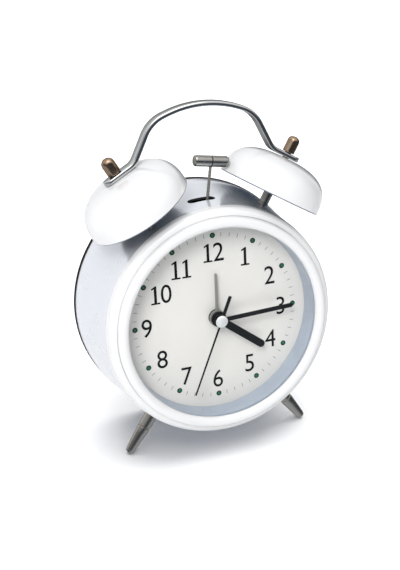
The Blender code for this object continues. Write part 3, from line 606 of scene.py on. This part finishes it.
FIGURE_HEIGHT = 9.0
FIGURE_STRETCH = 0.92
FIGURE_ADVANCE = 5.3
NUMERALS = {             # middles of the hour figures
    "12": (0.0, 31.8), "1": (15.9, 27.6), "2": (28.2, 16.3), "3": (33.7, -0.1), "4": (27.9, -16.3),
    "5": (16.6, -27.2), "6": (-0.1, -32.1), "7": (-15.9, -27.8), "8": (-27.7, -17.0),
    "9": (-34.3, -0.2), "10": (-26.6, 15.3), "11": (-16.1, 25.9),
}
DOT_CIRCLE_R = 40.07
TICK_CIRCLE_R = 40.2
TICK_SIZE = (0.22, 2.0)
INK_DEPTH = 0.02
INK_EDGE = 0.004


def merged(parts):
    """One bmesh out of several, each moved to its own place."""
    whole = bmesh.new()
    for bm, move in parts:
        bm.transform(move)
        mesh = bpy.data.meshes.new("part")
        bm.to_mesh(mesh)
        bm.free()
        whole.from_mesh(mesh)
        bpy.data.meshes.remove(mesh)
    return whole


ONE = (
    (-2.2, -4.5), (2.2, -4.5), (2.2, -3.7), (0.7, -3.7), (0.7, 4.5), (0.1, 4.5), (-1.85, 3.4),
    (-1.85, 2.6), (-0.62, 3.15), (-0.62, -3.7), (-2.2, -3.7),
)                        # outline of the figure 1, which stands on a foot


def figure(character):
    """A printed figure of the dial's height, centred."""
    if character == "1":
        return plate([ONE], -INK_DEPTH, INK_DEPTH, INK_EDGE)
    curve = bpy.data.curves.new("figure", "FONT")
    curve.body = character
    curve.size = 12.5 * MM
    curve.extrude = INK_DEPTH * MM
    curve.resolution_u = 6
    curve.offset = 0.01 * MM
    bm = flattened(curve, 0.0)
    xs = [v.co.x for v in bm.verts]
    ys = [v.co.y for v in bm.verts]
    grow = FIGURE_HEIGHT * MM / (max(ys) - min(ys))
    middle = Vector(((max(xs) + min(xs)) / 2, (max(ys) + min(ys)) / 2, 0))
    bmesh.ops.translate(bm, verts=bm.verts, vec=-middle)
    bmesh.ops.scale(bm, verts=bm.verts, vec=(grow * FIGURE_STRETCH, grow, 1))
    return bm


def make_dial():
    card = eased([(47.6, DIAL_Z), (47.6, DIAL_Z - 0.3), (3.4, DIAL_Z - 0.3), (3.4, DIAL_Z)], 0.06,
                 closed=True)
    even_normals(add("dial_card_disc", lathe(card, FINE, closed=True), CLOCK, "clock", PAPER,
                     ["dial_face"]))
    raised = DIAL_Z + 0.01
    figures = []
    for text, (x, y) in NUMERALS.items():
        first = x - FIGURE_ADVANCE * (len(text) - 1) / 2
        for i, character in enumerate(text):
            spot = Vector((first + i * FIGURE_ADVANCE, y, raised)) * MM
            figures.append((figure(character), Matrix.Translation(spot)))
    add("dial_numerals", merged(figures), CLOCK, "clock", INK)
    ticks = []
    dots = []
    rings = []
    for minute in range(60):
        spin = Matrix.Rotation(-math.radians(6 * minute), 4, "Z")
        if minute % 5:
            mark = plate([rounded_rectangle(*TICK_SIZE, 0.08, 2)], -INK_DEPTH, INK_DEPTH, INK_EDGE)
            ticks.append((mark, spin @ Matrix.Translation(Vector((0, TICK_CIRCLE_R, raised)) * MM)))
        else:
            spot = spin @ Matrix.Translation(Vector((0, DOT_CIRCLE_R, raised)) * MM)
            dots.append((lathe([(0, 0.05), (0.5, 0.045), (0.8, 0.02), (0.8, -0.02), (0, -0.02)], 28),
                         spot))
            ring = [(0.8, 0.03), (1.3, 0.02), (1.3, -0.02), (0.8, -0.02)]
            rings.append((lathe(ring, 28, closed=True), spot))
    add("minute_ticks", merged(ticks), CLOCK, "clock", TICK_INK)
    add("hour_dots", merged(dots), CLOCK, "clock", GREEN)
    add("hour_dot_rings", merged(rings), CLOCK, "clock", INK)


# ---- Hands ----

def hand_outline(hub_r, tip, half, tail=0.0, tail_half=0.0, tip_half=None):
    """A hand that points to +Y: hub disc, bar with a round tip, and an optional tail."""
    end_half = half if tip_half is None else tip_half
    points = arc((0, tip - end_half), (end_half, end_half), 0, 180, 14)
    lean = math.degrees(math.asin(half / hub_r))
    start = 90 + lean
    stop = 450 - lean
    if tail == 0.0:
        return points + arc((0, 0), (hub_r, hub_r), start, stop, 54)
    splay = math.degrees(math.asin(tail_half / hub_r))
    points += arc((0, 0), (hub_r, hub_r), start, 270 - splay, 24)
    points += arc((0, -tail + 0.3), (tail_half, 0.3), 180, 360, 8)
    return points + arc((0, 0), (hub_r, hub_r), 270 + splay, stop, 24)


def make_hand(name, node, angle, body, outline, hole_r, bottom, top, material):
    axes = at(CLOCK, rotation=(0, 0, -angle))
    bm = plate([outline, circle(hole_r, SMALL)], bottom, top, min(0.12, (top - bottom) * 0.35))
    return even_normals(add(name, bm, axes, body, material, [node]))


def make_collet(name, node, body, outer, inner, top, bottom):
    profile = [(inner, top), (outer, top), (outer, bottom), (inner, bottom)]
    return even_normals(add(name, lathe(eased(profile, 0.16, closed=True), MEDIUM, closed=True), CLOCK,
                            body, HAND, [node]))


def make_hands():
    make_hand("hour_pointer", "hour_hand", HOUR_ANGLE, "hours", hand_outline(3.7, 28.4, 1.85), 2.3,
              -8.6, -8.1, HAND)
    make_collet("hour_hub", "hour_collet", "hours", 3.6, 2.3, -8.9, -9.6)
    make_hand("minute_pointer", "minute_hand", MINUTE_ANGLE, "minutes", hand_outline(3.1, 37.5, 1.1),
              1.6, -6.8, -6.4, HAND)
    make_collet("minute_hub", "minute_collet", "minutes", 3.0, 1.6, -7.1, -7.6)
    outline = hand_outline(2.0, 38.2, 0.5, 12.8, 0.85, 0.4)
    make_hand("second_pointer", "second_hand", SECOND_ANGLE, "seconds", outline, 0.9, -5.3, -5.0, HAND)
    make_hand("alarm_pointer_blade", "alarm_hand", 0.0, "alarm_pointer",
              hand_outline(4.0, 22.2, 0.8, tip_half=0.65), 3.0, -10.8, -10.4, GREY_HAND)
    make_collet("alarm_hub", "alarm_collet", "alarm_pointer", 3.9, 3.0, -11.1, -12.3)
    dome = arc((0, -4.7), (3.0, 1.1), 90, 4, 16)
    dome = [(r if i else 0.0, h) for i, (r, h) in enumerate(dome)]
    even_normals(add("centre_cap", lathe(dome + [(2.95, -4.7), (0, -4.7)], MEDIUM), CLOCK, "seconds",
                     SILVER, ["hand_cap"]))


# ---- Bells, posts, nuts and handle ----

def bell_curve(radius, height, count):
    points = []
    for i in range(count + 1):
        a = math.pi / 2 * (1 - i / count)
        points.append((radius * math.cos(a) ** (1 / 1.4), height * math.sin(a) ** (1 / 1.4)))
    return points


def make_bell(side):
    outer = [(r, h) for r, h in bell_curve(BELL_R, BELL_HEIGHT, 44) if r > STUD_HOLE_R and h > 0.5]
    inner = bell_curve(BELL_R - BELL_WALL, BELL_HEIGHT - BELL_WALL, 30)
    inner = [(r, h) for r, h in inner if r > STUD_HOLE_R and h > 0.5]
    rim = arc((BELL_R - BELL_WALL / 2, 0.5), (BELL_WALL / 2, 0.5), 0, -180, 8)
    profile = outer + rim + inner[::-1]
    profile += [(STUD_HOLE_R, BELL_HEIGHT - BELL_WALL - 0.02), (STUD_HOLE_R, BELL_HEIGHT - 0.02)]
    points = [(r, BELL_RIM + h) for r, h in profile]
    bell = add(side + "_bell_dome", lathe(points, FINE, closed=True), BELLS[side], "clock", PAINT,
               [side + "_bell"], more_materials=(PRIMER_AND_PAINTED_SHADE,))

    # the bells' inner faces (slate finish darkened as painted shade) and the rim's downward faces (a painted shade
    # line)
    def inner_with_painted_shade(centre, normal):
        inward = Vector((centre.x, centre.y)).normalized().dot(normal.xy) < 0.2
        inside = inward and normal.z < 0.1 and centre.xy.length < BELL_R - BELL_WALL * 0.9
        return inside or normal.z < -0.1
    paint_faces(bell, 1, inner_with_painted_shade)
    even_normals(bell)


def make_post(side):
    under_bell = BELL_RIM + BELL_HEIGHT - BELL_WALL - GAP - 0.1
    top = BELL_RIM + BELL_HEIGHT + STRIP + 5.0
    seat = drum_radius(BELL_Z) + 0.5
    profile = [(0, top), (STUD_R, top), (STUD_R, under_bell), (POST_R, under_bell), (POST_R, seat + 1.0),
               (2.5, seat + 0.8), (2.5, seat), (STUD_R, seat), (STUD_R, 51.0), (0, 51.0)]
    even_normals(add(side + "_bell_pillar", lathe(eased(profile, 0.15), SMALL), BELLS[side], "clock",
                     POST, [side + "_bell_post"]))


def make_cap_nut(side):
    """A domed nut: a hexagon whose corners run out into the dome."""
    base = BELL_RIM + BELL_HEIGHT + STRIP + 2 * GAP
    half_flats = 2.85
    corner = 3.25
    dome = arc((0, NUT_HEIGHT - 3.2), (corner, 3.2), 90, 0, 18)
    profile = [(0.0, NUT_HEIGHT)] + dome[1:] + [(corner, 0.35), (corner - 0.35, 0.0)]
    profile += [(STUD_HOLE_R, 0.0), (STUD_HOLE_R, 4.6), (0, 4.6)]

    def shape(angle, radius, height):
        if radius <= STUD_HOLE_R and height - base < 4.7:
            return radius
        across = half_flats / math.cos((angle % (math.pi / 3)) - math.pi / 6)
        return (radius ** -24 + across ** -24) ** (-1 / 24)
    points = [(r, base + h) for r, h in profile]
    even_normals(add(side + "_domed_nut", lathe(points, MEDIUM, shape=shape), BELLS[side], "clock",
                     BRONZE, [side + "_cap_nut"]))


def rounded_path(corners, radii, step=math.radians(2)):
    path = [Vector(corners[0])]
    for i, radius in enumerate(radii, start=1):
        before, corner, after = (Vector(corners[j]) for j in (i - 1, i, i + 1))
        into = (corner - before).normalized()
        away = (after - corner).normalized()
        turn = into.angle_signed(away)
        reach = radius * math.tan(abs(turn) / 2)
        start = corner - into * reach
        side = 1 if turn < 0 else -1
        centre = start + Vector((-into.y, into.x)) * radius * side
        count = max(2, round(abs(turn) / step))
        for k in range(count + 1):
            spin = Matrix.Rotation(side * abs(turn) * k / count, 2)
            path.append(centre + spin @ (start - centre))
    path.append(Vector(corners[-1]))
    return path


def handle_path():
    """The strip's middle line, from the left foot's end over the arch to the right foot's end."""
    sin_t = math.sin(BELL_TILT)
    cos_t = math.cos(BELL_TILT)
    mid = BELL_RIM + BELL_HEIGHT + GAP + STRIP / 2

    def on_foot(along):
        return (mid * sin_t + along * cos_t, mid * cos_t - along * sin_t)
    right = [on_foot(STRIP_END), on_foot(HANDLE_ANKLE), HANDLE_SHOULDER, HANDLE_TOP]
    left = [(-x, y) for x, y in right[:-1]]
    return rounded_path(left + right[::-1], HANDLE_BENDS)


def resampled(path, spacing):
    """Points at an even spacing along a path, with its ends kept."""
    lengths = [0.0]
    for a, b in zip(path, path[1:]):
        lengths.append(lengths[-1] + (b - a).length)
    count = round(lengths[-1] / spacing)
    out = []
    k = 0
    for i in range(count + 1):
        s = lengths[-1] * i / count
        while k < len(path) - 2 and lengths[k + 1] < s:
            k += 1
        span = lengths[k + 1] - lengths[k]
        out.append((s, path[k].lerp(path[k + 1], (s - lengths[k]) / span)))
    return out, lengths[-1]


def make_handle():
    """A half-round strip whose two feet end in a half circle."""
    samples, length = resampled(handle_path(), 0.8)
    round_r = STRIP_WIDTH / 2
    ends = (0.02, 0.12, 0.3, 0.55)
    stations = sorted(set(ends) | {length - s for s in ends} | {s for s, _ in samples[1:-1]})
    points = [p for _, p in samples]
    spacing = length / (len(samples) - 1)

    def point_at(s):
        i = min(int(s / spacing), len(points) - 2)
        return points[i].lerp(points[i + 1], s / spacing - i)
    rings = []
    for s in stations:
        here = point_at(s)
        ahead = (point_at(min(s + 0.4, length)) - point_at(max(s - 0.4, 0.0))).normalized()
        out = Vector((-ahead.y, ahead.x))
        reach = min(s, length - s)
        share = 1.0 if reach >= round_r else math.sqrt(1 - (1 - reach / round_r) ** 2)
        half = round_r * share
        ring = []
        for v, u in strip_section(half):
            spot = here + out * v
            ring.append((spot.x, spot.y, u))
        rings.append(ring)
    axes = at(CLOCK, (0, 0, BELL_Z))
    handle = add("handle_strip", swept(rings), axes, "clock", CHROME, ["handle"],
                 crease=50.0)
    even_normals(handle)


def strip_section(half):
    """Points (out, across) round the strip: a low crown with rounded flanks and a flat underside."""
    low = -STRIP / 2
    flank = low + 0.75
    crown = []
    for i in range(29):
        a = math.pi * i / 28
        across = math.copysign(abs(math.cos(a)) ** CROWN_POWER, math.cos(a))
        crown.append((flank + (STRIP / 2 - flank) * abs(math.sin(a)) ** CROWN_POWER, half * across))
    corner = min(0.35, half * 0.5)
    under = [(low + corner * (1 - math.cos(a)), -half + corner * (1 - math.sin(a)))
             for a in (math.pi / 2 * i / 3 for i in range(3, -1, -1))]
    mirrored = [(v, -u) for v, u in under[::-1]]
    return crown + under + mirrored


# ---- Hammer and feet ----

def make_hammer():
    half = HEAD_LENGTH / 2
    end = [(0.0, half)] + arc((HEAD_R - 1.15, half - 1.15), (1.15, 1.15), 90, 0, 9)
    seam = [(HEAD_R, 0.3), (HEAD_R - 0.12, 0.2), (HEAD_R - 0.7, 0.16), (HEAD_R - 0.7, -0.16),
            (HEAD_R - 0.12, -0.2), (HEAD_R, -0.3)]
    profile = end + seam + [(r, -h) for r, h in end[::-1]]
    head = at(HAMMER, (0, HAMMER_REACH, 0), ALONG_X)
    even_normals(add("hammer_head_bar", lathe(profile, MEDIUM), head, "hammer", STEEL,
                     ["hammer_head"]))
    stem = eased([(0, HAMMER_REACH + 0.3), (0.7, HAMMER_REACH + 0.3), (0.7, 2.0), (0, 2.0)], 0.15)
    add("hammer_wire", lathe(stem, SMALL), at(HAMMER, rotation=ALONG_Y), "hammer", WIRE,
        ["hammer_stem"])


def make_foot(side):
    seat = drum_radius(FOOT_Z) + 0.7
    groove = 64.0
    profile = [
        (0, 50.6), (STUD_R, 50.6), (STUD_R, seat), (FOOT_R - 0.3, seat), (FOOT_R, seat + 0.4),
        (FOOT_R, groove - 0.15), (FOOT_R - 0.35, groove + 0.1), (FOOT_R - 0.35, groove + 0.4),
        (FOOT_R, groove + 0.65), (FOOT_R - 0.05, 66.8), (FOOT_R - 0.12, 67.6),
        (FOOT_TIP_R + 0.28, FOOT_REACH - 1.1), (FOOT_TIP_R + 0.1, FOOT_REACH - 0.9),
        (FOOT_TIP_R, FOOT_REACH), (0, FOOT_REACH),
    ]
    even_normals(add(side + "_turned_foot", lathe(eased(profile, 0.12), SMALL), FEET[side], "clock",
                     NICKEL, [side + "_foot"]))


# ---- Rear cover, knobs, switch, door and screws ----

def make_rear_cover():
    rib = [(44.6, BACK), (44.3, BACK + 0.35), (43.5, BACK + 0.35), (43.2, BACK)]
    profile = [(0, -49.8), (56.8, -49.8), (56.8, -46.5), (58.3, -46.5), (58.3, BAND_BACK - 0.1),
               (REAR_R, BAND_BACK - 0.1), (REAR_R, -51.3), (59.3, BACK), (57.6, BACK),
               (57.3, BACK + 0.4), (56.9, BACK + 0.4), (56.6, BACK)] + rib + [(0, BACK)]
    cover = add("rear_cover_moulding", lathe(eased(profile, 0.12), FINE), CLOCK, "clock", BLACK,
                ["rear_cover"], more_materials=(EDGE_BLACK,))
    opening = rounded_rectangle(DOOR_SIZE[0] + 2 * GAP, DOOR_SIZE[1] + 2 * GAP, 0.8)
    slot = rounded_rectangle(11.0, 4.0, 0.8)
    cutters = [
        (plate([opening], -55, -47, 0.01), at(CLOCK, (0, BATTERY_Y, 0))),
        (plate([slot], -55, -47, 0.01), at(CLOCK, (0, 32.0, 0))),
    ]
    for x in (KNOB_X, -KNOB_X):
        cutters.append((drill(2.0, -48, -53), at(CLOCK, (x, KNOB_Y, 0))))
    for angle in SCREW_ANGLES:
        cutters.append((drill(1.6, -48, -53), at(CLOCK, screw_spot(angle))))
    cut(cover, cutters)
    paint_faces(cover, 1, lambda centre, normal: centre.xy.length > 59.0)
    even_normals(cover)


def screw_spot(angle):
    a = math.radians(angle)
    return (SCREW_CIRCLE_R * math.cos(a), SCREW_CIRCLE_R * math.sin(a), 0)


def make_screws():
    for number, angle in enumerate(SCREW_ANGLES, start=1):
        profile = [(0, -46.0), (1.2, -46.0), (1.2, BACK - GAP), (2.6, BACK - GAP)]
        profile += arc((0, BACK - GAP - 0.1), (2.6, -1.2), 0, 84, 8) + [(0, BACK - 1.6)]
        axes = at(CLOCK, screw_spot(angle))
        screw = add(f"screw_{number}", lathe(profile, SMALL), axes, "clock", SCREW,
                    [f"cover_screw_{number}"])
        bar = [(rounded_rectangle(2.6, 0.55, 0.12, 2), turn) for turn in (20, 110)]
        cut(screw, [(plate([points], BACK - 2.5, BACK - 0.75, 0.01),
                     axes @ Matrix.Rotation(math.radians(turn), 4, "Z")) for points, turn in bar])


def make_knob(name, x, wheel_top):
    """A fluted knob with a dished end, on its shaft."""
    profile = [(1.9, -53.0), (6.0, -53.0), (6.45, -53.3), (6.5, -53.8), (6.5, -57.9), (6.4, -58.4),
               (6.0, -58.85), (5.5, -59.0), (5.1, -58.95), (4.7, -58.6), (3.4, -58.5), (1.9, -58.5)]

    def shape(angle, radius, height):
        depth = 0.55 * min(max((radius - 5.3) / 1.1, 0.0), 1.0)    # deepest on the outside
        return radius - depth * (0.5 - 0.5 * math.cos(KNOB_FLUTES * angle)) ** 0.8
    axes = at(CLOCK, (x, KNOB_Y, 0))
    knob = lathe(eased(profile, 0.2, closed=True, steps=2), FINE, closed=True, shape=shape)
    even_normals(add(name + "_grip", knob, axes, name + "_setter", BLACK,
                     [name + "_knob"]))
    wheel_r = math.hypot(KNOB_X, KNOB_Y) / 2 - GAP / 2
    shaft = [(0, wheel_top), (wheel_r, wheel_top), (wheel_r, wheel_top - 1.0), (1.5, wheel_top - 1.0),
             (1.5, -58.6), (0, -58.6)]
    even_normals(add(name + "_arbor", lathe(eased(shaft, 0.15), SMALL), axes, name + "_setter",
                     MOULDING, [name + "_shaft"]))


def make_switch():
    """A slider with three grip ridges across its top."""
    top = [(-2.3, -48.6), (-2.3, -53.5), (-2.0, -54.0)]
    for x in (-1.15, 0.0, 1.15):
        top += [(x - 0.32, -54.0), (x - 0.12, -53.55), (x + 0.12, -53.55), (x + 0.32, -54.0)]
    top += [(2.0, -54.0), (2.3, -53.5), (2.3, -48.6)]
    rings = [[(x, y, z) for x, z in top] for y in (-1.65, 1.65)]
    slider = add("switch_slider", swept(rings), at(CLOCK, (-2.5, 32.0, 0)), "switch", BLACK,
                 ["alarm_switch"], crease=25.0)
    bevel = slider.modifiers.new("Soft edges", "BEVEL")
    bevel.width = 0.12 * MM
    bevel.segments = 2
    even_normals(slider)


def make_battery_door():
    """The door with a finger recess and two grip lines along its free edge."""
    axes = at(CLOCK, (0, BATTERY_Y - DOOR_SIZE[1] / 2, BACK))
    outline = [(x, y + DOOR_SIZE[1] / 2) for x, y in rounded_rectangle(*DOOR_SIZE, 0.6)]
    door = add("door_panel", plate([outline], 0.0, DOOR_THICKNESS, 0.2), axes, "door", BLACK,
               ["battery_door"])
    cutters = []
    recess = rounded_rectangle(12.0, 2.4, 1.1)
    cutters.append((plate([recess], -1.0, 0.6, 0.01), at(axes, (0, DOOR_SIZE[1] - 2.6, 0))))
    for y in (11.4, 9.8):
        line = rounded_rectangle(12.0, 0.7, 0.3, 3)
        cutters.append((plate([line], -1.0, 0.3, 0.01), at(axes, (0, y, 0))))
    even_normals(cut(door, cutters))


# ---- Studio and camera ----

SKY_STRENGTH = 0.36
BACKDROP = (0.40, 0.403, 0.41)       # past the floor's edge
CLOCK_MIDDLE = (0.0, 0.0, 0.07)
CAMERA_LENS = 63.15
CAMERA_PLACE = (-153.83, 169.59, 403.83)
CAMERA_RIGHT = (0.9371, -0.04453, 0.34622)
CAMERA_UP = (0.15281, 0.94408, -0.29217)       # the camera's are in the clock's own axes


def make_studio():
    bm = bmesh.new()
    bmesh.ops.create_circle(bm, cap_ends=True, segments=128, radius=4.0)
    mesh = bpy.data.meshes.new("studio_floor")
    bm.to_mesh(mesh)
    bm.free()
    mesh.materials.append(finish_of("floor_paper", (0.96, 0.96, 0.965), 0.7, vary=0.008, patch=4.0,
                                    grain=300.0, grain_depth=0.01))
    floor = bpy.data.objects.new("studio_floor", mesh)
    bpy.context.scene.collection.objects.link(floor)
    floor.visible_glossy = False
    make_world()
    soft_light("top_softbox", (-0.10, -0.25, 0.85), (0.0, 0.0, 0.06), 0.7, 3.2, True)
    no_floor = bpy.data.collections.new("all_but_floor")
    no_floor.objects.link(floor)
    no_floor.collection_objects[0].light_linking.link_state = "EXCLUDE"
    front = soft_light("front_softbox", (-0.55, -0.70, 0.85), CLOCK_MIDDLE, 0.45, 10.5, False)
    front.light_linking.receiver_collection = no_floor
    only_floor = bpy.data.collections.new("floor_only")
    only_floor.objects.link(floor)
    backlight = soft_light("floor_softbox", (0.3, 0.6, 1.8), (0.1, 0.35, 0.0), 2.2, 52.0, False)
    backlight.light_linking.receiver_collection = only_floor
    bpy.context.scene.view_settings.view_transform = "Standard"


SURROUNDINGS = (
    (0.00, (0.62, 0.66, 0.72)), (0.26, (0.52, 0.56, 0.62)), (0.37, (0.20, 0.23, 0.28)),
    (0.45, (0.06, 0.07, 0.085)), (0.57, (0.07, 0.08, 0.095)), (0.68, (0.45, 0.47, 0.50)),
    (0.80, (1.00, 1.00, 1.00)), (1.00, (1.10, 1.10, 1.10)),
)                        # what polished surfaces mirror, from straight down to straight up
PALE_WALL = (0.0, 1.0, 0.0)
DARK_CORNER = (0.60, 0.79, -0.10)


def make_world():
    """An even white sky for light and a grey backdrop. Polished surfaces mirror a pale sheet, a dim
    room with a pale wall behind the clock and a dark corner in it, and a white ceiling."""
    world = bpy.data.worlds.new("studio")
    world.use_nodes = True
    tree = world.node_tree
    nodes = tree.nodes
    place = nodes.new("ShaderNodeTexCoord").outputs["Generated"]
    parts = nodes.new("ShaderNodeSeparateXYZ")
    height = nodes.new("ShaderNodeMapRange")
    height.inputs["From Min"].default_value = -1.0
    ramp = nodes.new("ShaderNodeValToRGB")
    points = ramp.color_ramp.elements
    for position, _ in SURROUNDINGS[1:-1]:
        points.new(position)
    for point, (position, color) in zip(points, SURROUNDINGS):
        point.position = position
        point.color = (*color, 1.0)
    tree.links.new(place, parts.inputs[0])
    tree.links.new(parts.outputs["Z"], height.inputs["Value"])
    tree.links.new(height.outputs["Result"], ramp.inputs["Fac"])

    def towards(direction, start, stop):
        """0 away from a direction and 1 close to it, by the cosine of the angle between."""
        dot = nodes.new("ShaderNodeVectorMath")
        dot.operation = "DOT_PRODUCT"
        dot.inputs[1].default_value = direction
        share = nodes.new("ShaderNodeMapRange")
        share.interpolation_type = "SMOOTHSTEP"
        share.inputs["From Min"].default_value = start
        share.inputs["From Max"].default_value = stop
        tree.links.new(place, dot.inputs[0])
        tree.links.new(dot.outputs["Value"], share.inputs["Value"])
        return share.outputs["Result"]

    def over(share, below, color):
        mix = nodes.new("ShaderNodeMix")
        mix.data_type = "RGBA"
        sockets = [s for s in mix.inputs if s.type == "RGBA"]
        sockets[1].default_value = (*color, 1.0)
        tree.links.new(share, mix.inputs["Factor"])
        tree.links.new(below, sockets[0])
        return next(s for s in mix.outputs if s.type == "RGBA")

    seen = over(towards(PALE_WALL, 0.1, 0.6), ramp.outputs["Color"], (0.92, 0.93, 0.95))
    seen = over(towards(DARK_CORNER, 0.93, 0.985), seen, (0.035, 0.05, 0.07))
    mirrored = nodes.new("ShaderNodeBackground")
    tree.links.new(seen, mirrored.inputs["Color"])
    sky = nodes["Background"]
    sky.inputs["Color"].default_value = (0.97, 0.98, 1.0, 1.0)
    sky.inputs["Strength"].default_value = SKY_STRENGTH
    path = nodes.new("ShaderNodeLightPath")
    choose = nodes.new("ShaderNodeMixShader")
    tree.links.new(path.outputs["Is Glossy Ray"], choose.inputs["Fac"])
    tree.links.new(sky.outputs[0], choose.inputs[1])
    tree.links.new(mirrored.outputs[0], choose.inputs[2])
    backdrop = nodes.new("ShaderNodeBackground")
    backdrop.inputs["Color"].default_value = (*BACKDROP, 1.0)
    behind = nodes.new("ShaderNodeMixShader")
    tree.links.new(path.outputs["Is Camera Ray"], behind.inputs["Fac"])
    tree.links.new(choose.outputs[0], behind.inputs[1])
    tree.links.new(backdrop.outputs[0], behind.inputs[2])
    tree.links.new(behind.outputs[0], nodes["World Output"].inputs["Surface"])
    bpy.context.scene.world = world


def soft_light(name, place, target, size, power, mirrored):
    light = bpy.data.lights.new(name, "AREA")
    light.size = size
    light.energy = power
    obj = bpy.data.objects.new(name, light)
    bpy.context.scene.collection.objects.link(obj)
    obj.visible_glossy = mirrored
    obj.location = place
    obj.rotation_euler = (Vector(target) - Vector(place)).to_track_quat("-Z", "Y").to_euler()
    return obj


def make_camera():
    """The photograph's viewpoint, in the clock's own axes."""
    camera = bpy.data.cameras.new("camera")
    camera.lens = CAMERA_LENS
    camera.sensor_width = 36.0
    camera.clip_start = 0.01
    obj = bpy.data.objects.new("camera", camera)
    bpy.context.scene.collection.objects.link(obj)
    right = Vector(CAMERA_RIGHT)
    back = right.cross(Vector(CAMERA_UP)).normalized()
    up = back.cross(right).normalized()
    turn = Matrix((right.normalized(), up, back)).transposed().to_4x4()
    spot = Matrix.Translation(Vector(CAMERA_PLACE) * MM)
    obj.matrix_world = CLOCK @ spot @ turn
    bpy.context.scene.camera = obj


def main():
    dress_cad_nodes()
    make_drum()
    make_bezel()
    make_window()
    make_dial()
    make_hands()
    for side in SIDES:
        make_bell(side)
        make_post(side)
        make_cap_nut(side)
        make_foot(side)
    make_handle()
    make_hammer()
    make_rear_cover()
    make_screws()
    make_knob("time", KNOB_X, -24.0)
    make_knob("alarm", -KNOB_X, -17.5)
    make_switch()
    make_battery_door()
    settle(PIECES)
    make_studio()
    make_camera()


main()
